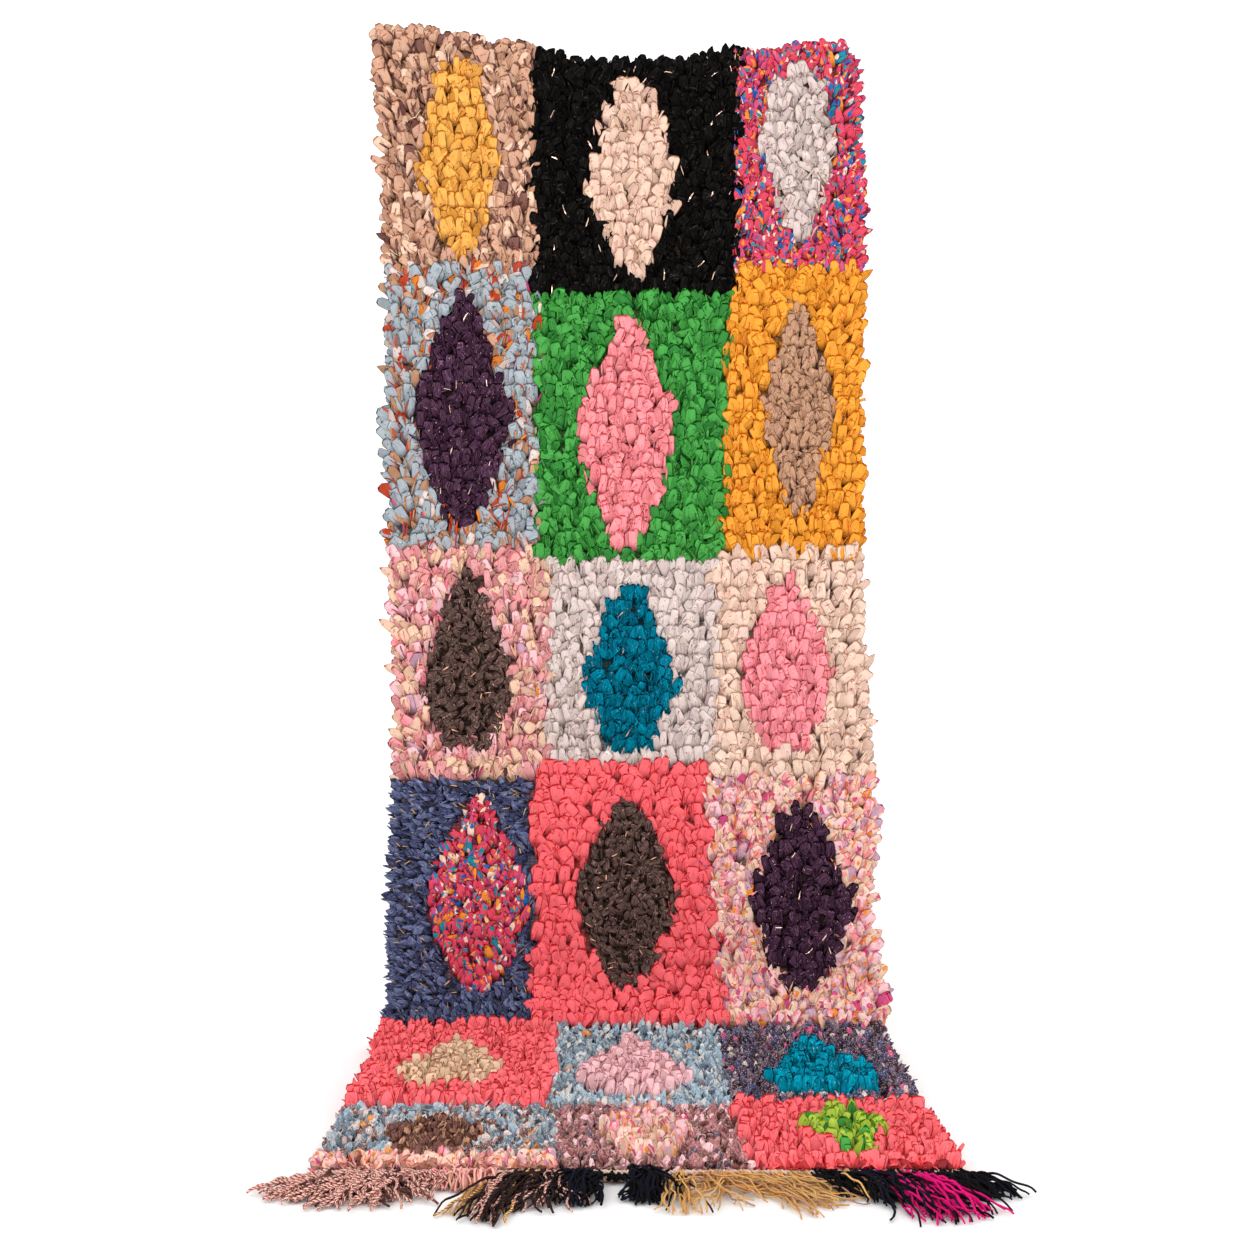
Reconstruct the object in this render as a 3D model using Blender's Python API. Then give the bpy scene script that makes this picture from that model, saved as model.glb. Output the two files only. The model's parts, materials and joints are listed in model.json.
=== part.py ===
"""A boucherouite rug hung from its top edge, with its lower third lying on the floor.

The frame is in metres, +Z up and +X to the right of a viewer who looks along +Y. The origin is in the middle
of the top edge, on the back of the cloth. The wall plane is y = 0, and the rug lies on the floor towards -Y.

The rug is one lumpy slab, swept along its side profile: straight down, round a bend, then flat on the floor.
Locks of pile stand out of its two sides and its top edge. At the floor end follow the flat-woven heading with
its loose warp ends, and the tassels knotted onto it.
"""

import math
import random

import bmesh
import bpy
import numpy as np
from mathutils import Vector

HANG_HEIGHT = 1.69  # top edge to floor
BEND_RADIUS = 0.11  # of the cloth's back, where it turns onto the floor
FLOOR_REACH = 0.745  # wall plane to the end of the pile
PILE_DEPTH = 0.026  # back of the cloth to the mean pile surface
LUMP = 0.0065  # how far the pile surface rises and falls
RIM_SHARE = 0.6  # pile depth at the rim, as a share of PILE_DEPTH
RIB_SHARE = 0.4  # how much of LUMP every other cross section stands proud

ROW_PITCH = 0.0275  # between cross sections along the rug
COLUMNS = 26  # faces across the rug
BEND_ROWS = 7
FLAT_ANGLE = math.radians(0.5)  # faces of the back within this angle of each other become one

LOCK_LENGTH = (0.008, 0.016)  # side locks, shortest and longest
TOP_LOCK_LENGTH = (0.010, 0.020)
TOP_LOCK_SWAY = 0.004  # of its tip, to either side and away from the wall
LOCK_DROOP = 0.009  # how far a side lock's tip hangs below its root at most
LEAST_DROOP = 0.3  # as a share of LOCK_DROOP
LOCK_TAPER = 0.45

GAP = 0.0003  # between neighbouring pieces
HEADING_LENGTH = 0.013
HEADING_THICKNESS = 0.004
HEADING_INSET = 0.004  # from the slab's side to the heading's
LOOSE_WIDTH = 0.0034
LOOSE_CURL = 0.1  # radians that a loose warp end turns right by its tip
LOOSE_WAVE = 0.04  # radians
SHORTEST_LOOSE = 0.8  # share of a group's length

# The slab's two long edges: distance down the cloth from the top edge, then the x of each edge.
SIDE_EDGES = (
    {"down": 0.00, "left": -0.424, "right": 0.366},
    {"down": 0.05, "left": -0.427, "right": 0.384},
    {"down": 0.11, "left": -0.415, "right": 0.388},
    {"down": 0.24, "left": -0.413, "right": 0.401},
    {"down": 0.37, "left": -0.403, "right": 0.396},
    {"down": 0.52, "left": -0.401, "right": 0.395},
    {"down": 0.63, "left": -0.413, "right": 0.391},
    {"down": 0.78, "left": -0.401, "right": 0.391},
    {"down": 0.96, "left": -0.400, "right": 0.398},
    {"down": 1.14, "left": -0.395, "right": 0.413},
    {"down": 1.32, "left": -0.398, "right": 0.413},
    {"down": 1.48, "left": -0.403, "right": 0.407},
    {"down": 1.60, "left": -0.400, "right": 0.429},
    {"down": 1.72, "left": -0.413, "right": 0.430},
    {"down": 1.90, "left": -0.401, "right": 0.425},
    {"down": 2.22, "left": -0.400, "right": 0.425},
    {"down": 2.39, "left": -0.398, "right": 0.436},
)

# The top edge sags between its hung corners: how far it rises above its middle at each x.
TOP_EDGE = (
    {"x": -0.43, "rise": 0.043},
    {"x": -0.36, "rise": 0.050},
    {"x": -0.31, "rise": 0.030},
    {"x": -0.21, "rise": 0.019},
    {"x": -0.10, "rise": 0.003},
    {"x": 0.00, "rise": 0.000},
    {"x": 0.10, "rise": 0.005},
    {"x": 0.17, "rise": 0.013},
    {"x": 0.24, "rise": 0.014},
    {"x": 0.31, "rise": 0.025},
    {"x": 0.39, "rise": 0.020},
)
SAG_DEPTH = 0.42  # distance down the cloth over which the sag dies away

# Tassels from left to right. Angles are in degrees: aim 0 points away from the wall, and positive aims point
# right. curl bends the strands further the same way by their tips.
TASSELS = (
    {"name": "dusty_pink", "x": -0.378, "strands": 9, "length": 0.125, "aim": -42, "curl": -8, "spread": 8},
    {"name": "dark_brown", "x": -0.339, "strands": 8, "length": 0.135, "aim": -18, "curl": -5, "spread": 10},
    {"name": "mauve", "x": -0.299, "strands": 8, "length": 0.125, "aim": 0, "curl": 0, "spread": 8},
    {"name": "pink_knot", "x": -0.257, "strands": 5, "length": 0.045, "aim": 2, "curl": 0, "spread": 10},
    {"name": "peach_rag", "x": -0.208, "strands": 5, "length": 0.050, "aim": -2, "curl": 0, "spread": 6},
    {"name": "brown_ply", "x": -0.1265, "strands": 8, "length": 0.175, "aim": -18, "curl": 0, "spread": 3},
    {"name": "pink_twist", "x": -0.096, "strands": 6, "length": 0.130, "aim": -2, "curl": 0, "spread": 4},
    {"name": "navy_bundle", "x": -0.055, "strands": 7, "length": 0.120, "aim": 0, "curl": 0, "spread": 4},
    {"name": "small_knot", "x": -0.013, "strands": 4, "length": 0.022, "aim": 0, "curl": 0, "spread": 6},
    {"name": "navy_black", "x": 0.0245, "strands": 8, "length": 0.110, "aim": 0, "curl": 2, "spread": 4},
    {"name": "tan_black", "x": 0.067, "strands": 4, "length": 0.115, "aim": 1, "curl": 0, "spread": 5},
    {"name": "black_short", "x": 0.2435, "strands": 5, "length": 0.080, "aim": 26, "curl": 0, "spread": 3},
    {"name": "tan_mix", "x": 0.271, "strands": 4, "length": 0.090, "aim": 27, "curl": 1, "spread": 3},
    {"name": "black_long", "x": 0.2985, "strands": 6, "length": 0.125, "aim": 28, "curl": 2, "spread": 3},
    {"name": "magenta_inner", "x": 0.330, "strands": 6, "length": 0.165, "aim": 29, "curl": 3, "spread": 4},
    {"name": "magenta_outer", "x": 0.366, "strands": 7, "length": 0.145, "aim": 33, "curl": 4, "spread": 5},
    {"name": "black_end", "x": 0.407, "strands": 8, "length": 0.110, "aim": 40, "curl": 6, "spread": 9},
)

# Loose warp ends grow from the heading itself, in the spaces between tassels.
LOOSE_ENDS = (
    {"first": -0.181, "last": -0.173, "count": 3, "length": 0.110, "aim": -12, "spread": 2},
    {"first": 0.094, "last": 0.156, "count": 10, "length": 0.115, "aim": 5, "spread": 6},
    {"first": 0.168, "last": 0.222, "count": 8, "length": 0.125, "aim": 17, "spread": 9},
)

STRAND_STEPS = 3
STRAND_THICKNESS = 0.0042
STRAND_WIDTH = 0.0027
STRAND_PITCH = 0.0039  # between strands just clear of the head
TIP_NARROWING = 0.4  # share of its width that a strand loses by its tip
TIP_THINNING = 0.3
WAVES = 1.25  # along a strand
STRAND_WAVE = 0.1  # radians either way
SHORTEST_STRAND = 0.85  # share of a tassel's length
LEAST_LENGTH = 0.01  # of a strand, past its root
HEAD_HEIGHT = 0.0125
HEAD_LEVELS = (  # a tassel head's rings above its foot: how high, and how wide as a share of the foot
    {"height": STRAND_THICKNESS, "width": 1.0},
    {"height": 0.0094, "width": 0.92},
    {"height": HEAD_HEIGHT, "width": 0.55},
)
FACET_WIDTH = 0.0037  # of a strand at its root
ROOT_REACH = 0.005  # from the head's side to where the strands run side by side

COLOURS = {
    "rug": (0.42, 0.24, 0.20),
    "fringe_heading": (0.55, 0.42, 0.30),
    "dusty_pink": (0.45, 0.22, 0.22),
    "dark_brown": (0.20, 0.10, 0.10),
    "mauve": (0.33, 0.16, 0.17),
    "pink_knot": (0.42, 0.20, 0.20),
    "peach_rag": (0.72, 0.38, 0.30),
    "brown_ply": (0.10, 0.06, 0.055),
    "pink_twist": (0.12, 0.05, 0.06),
    "navy_bundle": (0.025, 0.03, 0.055),
    "small_knot": (0.02, 0.02, 0.025),
    "navy_black": (0.02, 0.022, 0.04),
    "tan_black": (0.40, 0.24, 0.12),
    "black_short": (0.018, 0.018, 0.02),
    "tan_mix": (0.45, 0.27, 0.13),
    "black_long": (0.02, 0.02, 0.025),
    "magenta_inner": (0.20, 0.02, 0.09),
    "magenta_outer": (0.35, 0.02, 0.14),
    "black_end": (0.018, 0.018, 0.022),
}

RUG_SEED = 11
YARN_SEED = 23

BEND_START = HANG_HEIGHT - BEND_RADIUS
BEND_END = BEND_START + BEND_RADIUS * math.pi / 2
CLOTH_LENGTH = BEND_END + FLOOR_REACH - BEND_RADIUS


def eased(value, places, heights):
    """Height at value, on a smooth line through the given points that never overshoots them."""
    at = int(np.clip(np.searchsorted(places, value) - 1, 0, len(places) - 2))
    share = np.clip((value - places[at]) / (places[at + 1] - places[at]), 0, 1)
    share = share * share * (3 - 2 * share)
    return heights[at] + share * (heights[at + 1] - heights[at])


def column(table, name):
    return [row[name] for row in table]


def profile(down):
    """Point (y, z) on the cloth's back at this distance down it, and the direction (y, z) of its pile."""
    if down <= BEND_START:
        return (0.0, -down), (-1.0, 0.0)
    if down < BEND_END:
        turn = (down - BEND_START) / BEND_RADIUS
        centre_z = BEND_RADIUS - HANG_HEIGHT
        point = (BEND_RADIUS * (math.cos(turn) - 1), centre_z - BEND_RADIUS * math.sin(turn))
        return point, (-math.cos(turn), math.sin(turn))
    return (-BEND_RADIUS - (down - BEND_END), -HANG_HEIGHT), (0.0, 1.0)


def sag(x, down):
    """How far the hung corners lift the cloth here."""
    fade = max(0.0, 1 - down / SAG_DEPTH)
    return fade * fade * eased(x, column(TOP_EDGE, "x"), column(TOP_EDGE, "rise"))


def row_places():
    """Distances down the cloth of the cross sections."""
    hanging = np.linspace(0, BEND_START, round(BEND_START / ROW_PITCH) + 1)
    bend = np.linspace(BEND_START, BEND_END, BEND_ROWS + 1)
    floor = np.linspace(BEND_END, CLOTH_LENGTH, round((CLOTH_LENGTH - BEND_END) / ROW_PITCH) + 1)
    return np.concatenate([hanging, bend[1:], floor[1:]])


def across(down):
    """The x of each point across the cloth at this distance down it."""
    left = eased(down, column(SIDE_EDGES, "down"), column(SIDE_EDGES, "left"))
    right = eased(down, column(SIDE_EDGES, "down"), column(SIDE_EDGES, "right"))
    return np.linspace(left, right, COLUMNS + 1)


def new_object(name, bm):
    mesh = bpy.data.meshes.new(name)
    bm.to_mesh(mesh)
    bm.free()
    obj = bpy.data.objects.new(name, mesh)
    bpy.context.scene.collection.objects.link(obj)
    material = bpy.data.materials.new(name)
    material.use_nodes = True
    shader = material.node_tree.nodes["Principled BSDF"]
    shader.inputs["Base Color"].default_value = (*COLOURS[name], 1)
    shader.inputs["Roughness"].default_value = 0.9
    shader.inputs["Metallic"].default_value = 0
    mesh.materials.append(material)
    return obj


def pile_depth(row, last_row, col, rng):
    """Depth of the slab at one point: lumpy inside, lower and even along the rim."""
    if row in (0, last_row) or col in (0, COLUMNS):
        return PILE_DEPTH * RIM_SHARE
    rib = RIB_SHARE if row % 2 else -RIB_SHARE
    return PILE_DEPTH + LUMP * (rib + rng.uniform(-1, 1))


def slab_grid(bm, places, rng):
    """The slab's front and back points, as two lists of rows."""
    front, back = [], []
    for row, down in enumerate(places):
        (y, z), (out_y, out_z) = profile(down)
        front.append([])
        back.append([])
        for col, x in enumerate(across(down)):
            lift = sag(x, down)
            depth = pile_depth(row, len(places) - 1, col, rng)
            back[-1].append(bm.verts.new((x, y, z + lift)))
            front[-1].append(bm.verts.new((x, y + out_y * depth, z + out_z * depth + lift)))
    return front, back


def grow_lock(bm, face, reach, about):
    """A lock of pile: the face is extruded by reach, and its tip drawn in towards the point about."""
    tip = bmesh.ops.extrude_discrete_faces(bm, faces=[face])["faces"][0]
    for vert in tip.verts:
        drawn = about + (vert.co - about) * LOCK_TAPER
        vert.co = drawn + reach


def rug():
    """The slab with its rim locks."""
    rng = random.Random(RUG_SEED)
    bm = bmesh.new()
    places = row_places()
    front, back = slab_grid(bm, places, rng)
    backs, sides, top = [], [], []
    for row in range(len(places) - 1):
        for col in range(COLUMNS):
            f, b = front[row : row + 2], back[row : row + 2]
            bm.faces.new((f[0][col], f[1][col], f[1][col + 1], f[0][col + 1]))
            backs.append(bm.faces.new((b[0][col], b[0][col + 1], b[1][col + 1], b[1][col])))
        left = bm.faces.new((f[0][0], b[0][0], b[1][0], f[1][0]))
        right = bm.faces.new((f[0][-1], f[1][-1], b[1][-1], b[0][-1]))
        sides.append((left, right))
    for col in range(COLUMNS):
        top.append(bm.faces.new((front[0][col], front[0][col + 1], back[0][col + 1], back[0][col])))
    bm.faces.new([*front[-1][::-1], *back[-1]])
    for row, pair in enumerate(sides):
        if row % 2:
            continue
        for face, side in zip(pair, (-1, 1)):
            side_lock(bm, face, side, places[row] >= BEND_START, rng)
    for face in top[::2]:
        reach = rng.uniform(*TOP_LOCK_LENGTH)
        sway = rng.uniform(-TOP_LOCK_SWAY, TOP_LOCK_SWAY)
        grow_lock(bm, face, Vector((sway, -TOP_LOCK_SWAY, reach)), face.calc_center_median())
    edges = {edge for face in backs for edge in face.edges}
    inner = [edge for edge in edges if all(face in backs for face in edge.link_faces)]
    bmesh.ops.dissolve_limit(bm, angle_limit=FLAT_ANGLE, verts=[], edges=inner)
    return new_object("rug", bm)


def side_lock(bm, face, side, on_floor, rng):
    """A side lock droops on the wall. On the floor it points sideways and rests level on it."""
    reach = side * rng.uniform(*LOCK_LENGTH)
    about = face.calc_center_median()
    if on_floor:
        lowest = min(vert.co.z for vert in face.verts)
        about.z = lowest
        grow_lock(bm, face, Vector((reach, 0, 0)), about)
    else:
        grow_lock(bm, face, Vector((reach, 0, -rng.uniform(LEAST_DROOP, 1) * LOCK_DROOP)), about)


def ring_on_floor(x, y, angle, width, thickness):
    """A strand's cross section, level on the floor: left low, right low, right high, left high."""
    side_x, side_y = math.cos(angle) * width / 2, math.sin(angle) * width / 2
    low, high = -HANG_HEIGHT, thickness - HANG_HEIGHT
    left, right = (x - side_x, y - side_y), (x + side_x, y + side_y)
    return (*left, low), (*right, low), (*right, high), (*left, high)


def strand_rings(start, aim, curl, length, wave):
    """Cross sections along one strand, from its first one clear of the root out. Angles are in radians."""
    x, y = start
    rings = [ring_on_floor(x, y, aim, STRAND_WIDTH, STRAND_THICKNESS)]
    for step in range(1, STRAND_STEPS + 1):
        share = step / STRAND_STEPS
        angle = aim + curl * share + wave * math.sin(2 * math.pi * WAVES * share)
        x += length / STRAND_STEPS * math.sin(angle)
        y -= length / STRAND_STEPS * math.cos(angle)
        width = STRAND_WIDTH * (1 - TIP_NARROWING * share)
        thickness = STRAND_THICKNESS * (1 - TIP_THINNING * share)
        rings.append(ring_on_floor(x, y, angle, width, thickness))
    return rings


def grow_strand(bm, face, rings):
    """Extrudes a root face along its rings."""
    for ring in rings:
        face = bmesh.ops.extrude_discrete_faces(bm, faces=[face])["faces"][0]
        for vert, place in zip(face.verts, ring):
            vert.co = place


def head_ring(bm, centre, radius, height, turn, facets):
    """One ring of a tassel's round head, as points that start a quarter turn left of its aim."""
    ring = []
    for k in range(facets):
        angle = turn + math.pi * (2 * k / facets - 0.5)
        x, y = centre[0] + radius * math.sin(angle), centre[1] - radius * math.cos(angle)
        ring.append(bm.verts.new((x, y, height - HANG_HEIGHT)))
    return ring


def tassel(spec, base_y, rng):
    """A round knotted head that stands against the heading, with its strands fused to the side it aims at."""
    bm = bmesh.new()
    count, aim = spec["strands"], math.radians(spec["aim"])
    facets = 2 * count
    radius = FACET_WIDTH * facets / (2 * math.pi)
    centre = (spec["x"], base_y - radius)
    rings = [head_ring(bm, centre, radius, 0, aim, facets)]
    for level in HEAD_LEVELS:
        rings.append(head_ring(bm, centre, radius * level["width"], level["height"], aim, facets))
    bm.faces.new(rings[0][::-1])
    bm.faces.new(rings[-1])
    roots = []
    for under, over in zip(rings, rings[1:]):
        for k in range(facets):
            after = (k + 1) % facets
            face = bm.faces.new((under[k], under[after], over[after], over[k]))
            if under is rings[0] and k < count:
                roots.append(face)
    wave = rng.uniform(-STRAND_WAVE, STRAND_WAVE)
    forward = radius + ROOT_REACH
    for k, face in enumerate(roots):
        aside = (k - (count - 1) / 2) * STRAND_PITCH
        x = centre[0] + forward * math.sin(aim) + aside * math.cos(aim)
        y = centre[1] - forward * math.cos(aim) + aside * math.sin(aim)
        fan = math.radians(spec["spread"]) * ((k + 0.5) / count - 0.5)
        length = max(spec["length"] * rng.uniform(SHORTEST_STRAND, 1) - forward, LEAST_LENGTH)
        grow_strand(bm, face, strand_rings((x, y), aim + fan, math.radians(spec["curl"]), length, wave))
    return new_object(spec["name"], bm)


def loose_roots():
    """Every loose warp end: its x on the heading's front edge, its length and its aim."""
    ends = []
    for group in LOOSE_ENDS:
        for k in range(group["count"]):
            share = k / (group["count"] - 1)
            ends.append(
                {
                    "x": group["first"] + share * (group["last"] - group["first"]),
                    "length": group["length"],
                    "aim": math.radians(group["aim"] + group["spread"] * (share - 0.5)),
                }
            )
    return ends


def heading(back_y, rng):
    """The flat-woven strip and the warp ends that leave its front edge."""
    bm = bmesh.new()
    left, right = SIDE_EDGES[-1]["left"] + HEADING_INSET, SIDE_EDGES[-1]["right"] - HEADING_INSET
    front_y = back_y - HEADING_LENGTH
    ends = loose_roots()
    line = [left]
    for end in ends:
        line += [end["x"] - LOOSE_WIDTH / 2, end["x"] + LOOSE_WIDTH / 2]
    line.append(right)

    def ring(height):
        z = height - HANG_HEIGHT
        fronts = [bm.verts.new((x, front_y, z)) for x in line]
        return fronts, [bm.verts.new((right, back_y, z)), bm.verts.new((left, back_y, z))]

    (low, low_back), (high, high_back) = ring(0), ring(HEADING_THICKNESS)
    bm.faces.new([*low, *low_back][::-1])
    bm.faces.new([*high, *high_back])
    fronts = []
    for k in range(len(line) - 1):
        fronts.append(bm.faces.new((low[k], low[k + 1], high[k + 1], high[k])))
    bm.faces.new((low[-1], low_back[0], high_back[0], high[-1]))
    bm.faces.new((low_back[0], low_back[1], high_back[1], high_back[0]))
    bm.faces.new((low_back[1], low[0], high[0], high_back[1]))
    for face, end in zip(fronts[1::2], ends):
        x = end["x"] + ROOT_REACH * math.sin(end["aim"])
        y = front_y - ROOT_REACH * math.cos(end["aim"])
        length = end["length"] * rng.uniform(SHORTEST_LOOSE, 1)
        grow_strand(bm, face, strand_rings((x, y), end["aim"], LOOSE_CURL, length, LOOSE_WAVE))
    return new_object("fringe_heading", bm)


def main():
    for obj in list(bpy.data.objects):
        bpy.data.objects.remove(obj)
    rng = random.Random(YARN_SEED)
    rug()
    heading_y = -FLOOR_REACH - GAP
    heading(heading_y, rng)
    tassel_y = heading_y - HEADING_LENGTH - GAP
    for spec in TASSELS:
        tassel(spec, tassel_y, rng)


main()
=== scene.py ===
"""Looks of a boucherouite rug that hangs from its top edge and runs out over the floor.

Strips of rag are knotted onto a flat-woven ground in rows. Every strip end is a petal of the pile, and the
petals make three columns of coloured blocks with a lozenge in each. At the floor end follow a corded heading,
its loose warp ends and tassels of yarn. Sizes are in metres and angles in degrees.
"""

import json
import math

import bmesh
import bpy
import numpy as np
from bpy.props import FloatProperty, FloatVectorProperty, IntProperty, PointerProperty
from bpy.types import Operator, Panel, PropertyGroup
from mathutils import Matrix, Vector


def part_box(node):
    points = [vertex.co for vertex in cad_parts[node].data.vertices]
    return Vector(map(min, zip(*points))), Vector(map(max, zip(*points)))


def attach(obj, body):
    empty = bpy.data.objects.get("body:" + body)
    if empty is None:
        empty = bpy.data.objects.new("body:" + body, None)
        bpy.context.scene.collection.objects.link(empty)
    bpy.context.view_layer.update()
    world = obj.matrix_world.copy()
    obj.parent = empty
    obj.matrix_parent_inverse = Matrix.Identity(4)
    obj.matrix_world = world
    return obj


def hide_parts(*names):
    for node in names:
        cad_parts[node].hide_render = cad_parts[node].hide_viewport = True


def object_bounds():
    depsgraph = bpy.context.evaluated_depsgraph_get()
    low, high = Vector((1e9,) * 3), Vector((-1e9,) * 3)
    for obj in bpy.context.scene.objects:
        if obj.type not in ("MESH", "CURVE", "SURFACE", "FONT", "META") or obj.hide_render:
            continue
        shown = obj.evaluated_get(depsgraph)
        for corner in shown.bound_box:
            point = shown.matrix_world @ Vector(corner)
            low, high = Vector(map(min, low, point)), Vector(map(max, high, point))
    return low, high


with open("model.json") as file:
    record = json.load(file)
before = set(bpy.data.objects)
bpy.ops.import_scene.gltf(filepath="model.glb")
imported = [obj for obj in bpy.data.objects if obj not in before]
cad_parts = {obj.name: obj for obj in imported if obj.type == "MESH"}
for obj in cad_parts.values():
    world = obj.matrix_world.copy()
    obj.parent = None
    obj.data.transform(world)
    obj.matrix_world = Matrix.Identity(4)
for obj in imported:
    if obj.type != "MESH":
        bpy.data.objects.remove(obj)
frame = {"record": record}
CAD_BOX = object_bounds()
RUG_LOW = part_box("rug")[0]
HEADING_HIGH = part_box("fringe_heading")[1]

bl_info = {
    "name": "Knotted Rag Rug",
    "version": (1, 0, 0),
    "blender": (4, 5, 0),
    "location": "View3D > Sidebar > Rag Rug",
    "description": "Dresses the rug's frame with a woven ground, knotted rag pile and yarn tassels",
    "category": "Add Mesh",
}

# ---- sizes and colours ----


def display(*parts):
    """A display colour, each part from 0 to 255, as the linear colour that a shader takes."""
    shares = [part / 255 for part in parts]
    return tuple(s / 12.92 if s <= 0.04045 else ((s + 0.055) / 1.055) ** 2.4 for s in shares)


def size(label, about, default):
    return FloatProperty(name=label, description=about, default=default, min=0, unit="LENGTH", precision=4)


def dye(label, about, *parts):
    """A colour setting, its default given as a display colour."""
    default = display(*parts)
    return FloatVectorProperty(name=label, description=about, default=default, subtype="COLOR", min=0, max=1)


def table(columns, *lines):
    """A table as a dict for each line, with the names of its columns as keys."""
    return tuple(dict(zip(columns.split(), line)) for line in lines)


def keyed_table(columns, *lines):
    """The same table as a dict of its lines, found by their first column."""
    return {line[columns.split()[0]]: line for line in table(columns, *lines)}


def rag(weave, style, dyes, **more):
    """What a fabric is made of, with what only some fabrics have."""
    return {"weave": weave, "style": style, "dyes": dyes, **more}


class RugShape(PropertyGroup):
    """The cloth's own form and the spacing of its knots."""

    hang_height: size("Hang height", "Top edge down to the floor", -RUG_LOW.z)
    bend_radius: size("Bend radius", "Of the cloth's back where it turns onto the floor", 0.11)
    floor_reach: size("Floor reach", "Wall plane to the end of the pile", -RUG_LOW.y)
    ground_thickness: size("Ground thickness", "Thickness of the flat-woven ground", 0.0022)
    row_pitch: size("Row pitch", "Between rows of knots", 0.0232)
    seed: IntProperty(name="Seed", description="Start of the random draws", default=7, min=0)


class RagDyes(PropertyGroup):
    """One colour for each kind of rag."""

    beige: dye("Beige", "Jersey of the first block", 212, 165, 139)
    peach: dye("Peach", "Pale peach jersey", 241, 201, 175)
    # Cocoa is a real brown rag, and on the folds of the beige block it is painted shade.
    cocoa: dye("Cocoa", "Mauve brown undersides", 128, 88, 80)
    yellow: dye("Yellow", "Egg yellow jersey", 243, 179, 91)
    ochre: dye("Ochre", "Darker egg yellow", 228, 161, 73)
    black: dye("Black", "Washed black cotton", 18, 16, 15)
    blush: dye("Blush", "Pale pink jersey", 236, 200, 180)
    raspberry: dye("Raspberry", "Printed raspberry cotton", 220, 76, 98)
    plum: dye("Plum", "Dark side of the print", 96, 42, 72)
    cobalt: dye("Cobalt", "Blue of the print", 44, 104, 176)
    sea: dye("Sea", "Teal of the print", 40, 140, 160)
    tangerine: dye("Tangerine", "Orange of the print", 240, 146, 60)
    cream: dye("Cream", "Undyed jersey", 244, 210, 191)
    pearl: dye("Pearl", "Warm light grey", 222, 203, 197)
    haze: dye("Haze", "Blue grey jersey", 170, 178, 184)
    rust: dye("Rust", "Orange red snippets", 206, 86, 58)
    tan: dye("Tan", "Tan edges", 206, 158, 128)
    aubergine: dye("Aubergine", "Dark purple cotton", 64, 41, 58)
    green: dye("Green", "Leaf green jersey", 79, 164, 78)
    moss: dye("Moss", "Darker leaf green", 58, 135, 62)
    pink: dye("Pink", "Candy pink jersey", 253, 154, 160)
    orange: dye("Orange", "Marigold jersey", 245, 166, 63)
    taupe: dye("Taupe", "Heathered taupe knit", 190, 147, 119)
    magenta: dye("Magenta", "Magenta snippets", 210, 84, 130)
    lilac: dye("Lilac", "Lilac jersey", 204, 162, 182)
    brown: dye("Brown", "Dark brown knit", 83, 64, 59)
    teal: dye("Teal", "Petrol blue jersey", 2, 116, 140)
    rose: dye("Rose", "Rose pink jersey", 255, 156, 164)
    blossom: dye("Blossom", "Warm pale pink jersey", 232, 162, 162)
    shell: dye("Shell", "Palest jersey", 255, 214, 196)
    navy: dye("Navy", "Faded navy twill", 107, 115, 153)
    midnight: dye("Midnight", "Darkest navy", 72, 76, 112)
    gold: dye("Gold", "Weft thread", 226, 180, 118)
    faded_coral: dye("Faded coral", "Coral jersey of the floor blocks", 255, 119, 125)
    lagoon: dye("Lagoon", "Brighter petrol blue jersey", 3, 143, 168)
    coral: dye("Coral", "Coral jersey", 255, 111, 118)
    sand: dye("Sand", "Sand jersey", 239, 202, 172)
    denim: dye("Denim", "Washed denim", 156, 182, 198)
    slate: dye("Slate", "Darker washed denim", 112, 134, 150)
    sky: dye("Sky", "Pale blue grey cotton", 208, 212, 212)
    mauve: dye("Mauve", "Heathered mauve", 180, 118, 119)
    dusk: dye("Dusk", "Purple grey cotton", 112, 92, 110)
    pale_rose: dye("Pale rose", "Pale rose jersey", 251, 201, 205)
    lime: dye("Lime", "Lime jersey", 179, 206, 81)
    selvedge: dye("Selvedge", "Peach cotton of the ground", 236, 196, 168)
    yarn_brown: dye("Brown yarn", "Dark brown yarn", 84, 56, 52)
    yarn_pink: dye("Pink yarn", "Dusty pink yarn", 246, 186, 172)
    yarn_tan: dye("Tan yarn", "Undyed warp ends", 255, 191, 118)
    yarn_navy: dye("Navy yarn", "Navy black yarn", 28, 30, 46)
    yarn_black: dye("Black yarn", "Black yarn", 24, 22, 24)
    yarn_magenta: dye("Magenta yarn", "Magenta yarn", 250, 30, 134)


# How a petal is cut. half is half its width. cup rounds it across, edge turns it edge on, and twist turns
# it further by its tip.
CUTS = keyed_table(
    "name tip length half thick cup edge twist",
    ("leaf", "round", 0.037, 0.0116, 0.002, 0.3, 0, 12),
    ("point", "point", 0.039, 0.0118, 0.002, 0.45, 0, 18),
    ("blunt", "square", 0.035, 0.0112, 0.002, 0.2, 0, 8),
    ("puff", "round", 0.033, 0.0122, 0.004, 0.6, 0, 10),
    ("roll", "square", 0.033, 0.0126, 0.0018, 2.3, 0, 20),
    ("fold", "under", 0.027, 0.0046, 0.002, 0.6, 74, 20),
    ("tongue", "round", 0.037, 0.0088, 0.0022, 0.5, 0, 18),
    ("flap", "point", 0.035, 0.0138, 0.0018, 0.35, 0, 24),
    ("slip", "point", 0.031, 0.0076, 0.0024, 0.7, 0, 30),
    ("nub", "round", 0.025, 0.0066, 0.0036, 0.8, 0, 40),
    ("strand", "point", 0.034, 0.0048, 0.003, 0.5, 0, 50),
    ("wisp", "under", 0.019, 0.001, 0.0012, 0.3, 0, 30),
)

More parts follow.
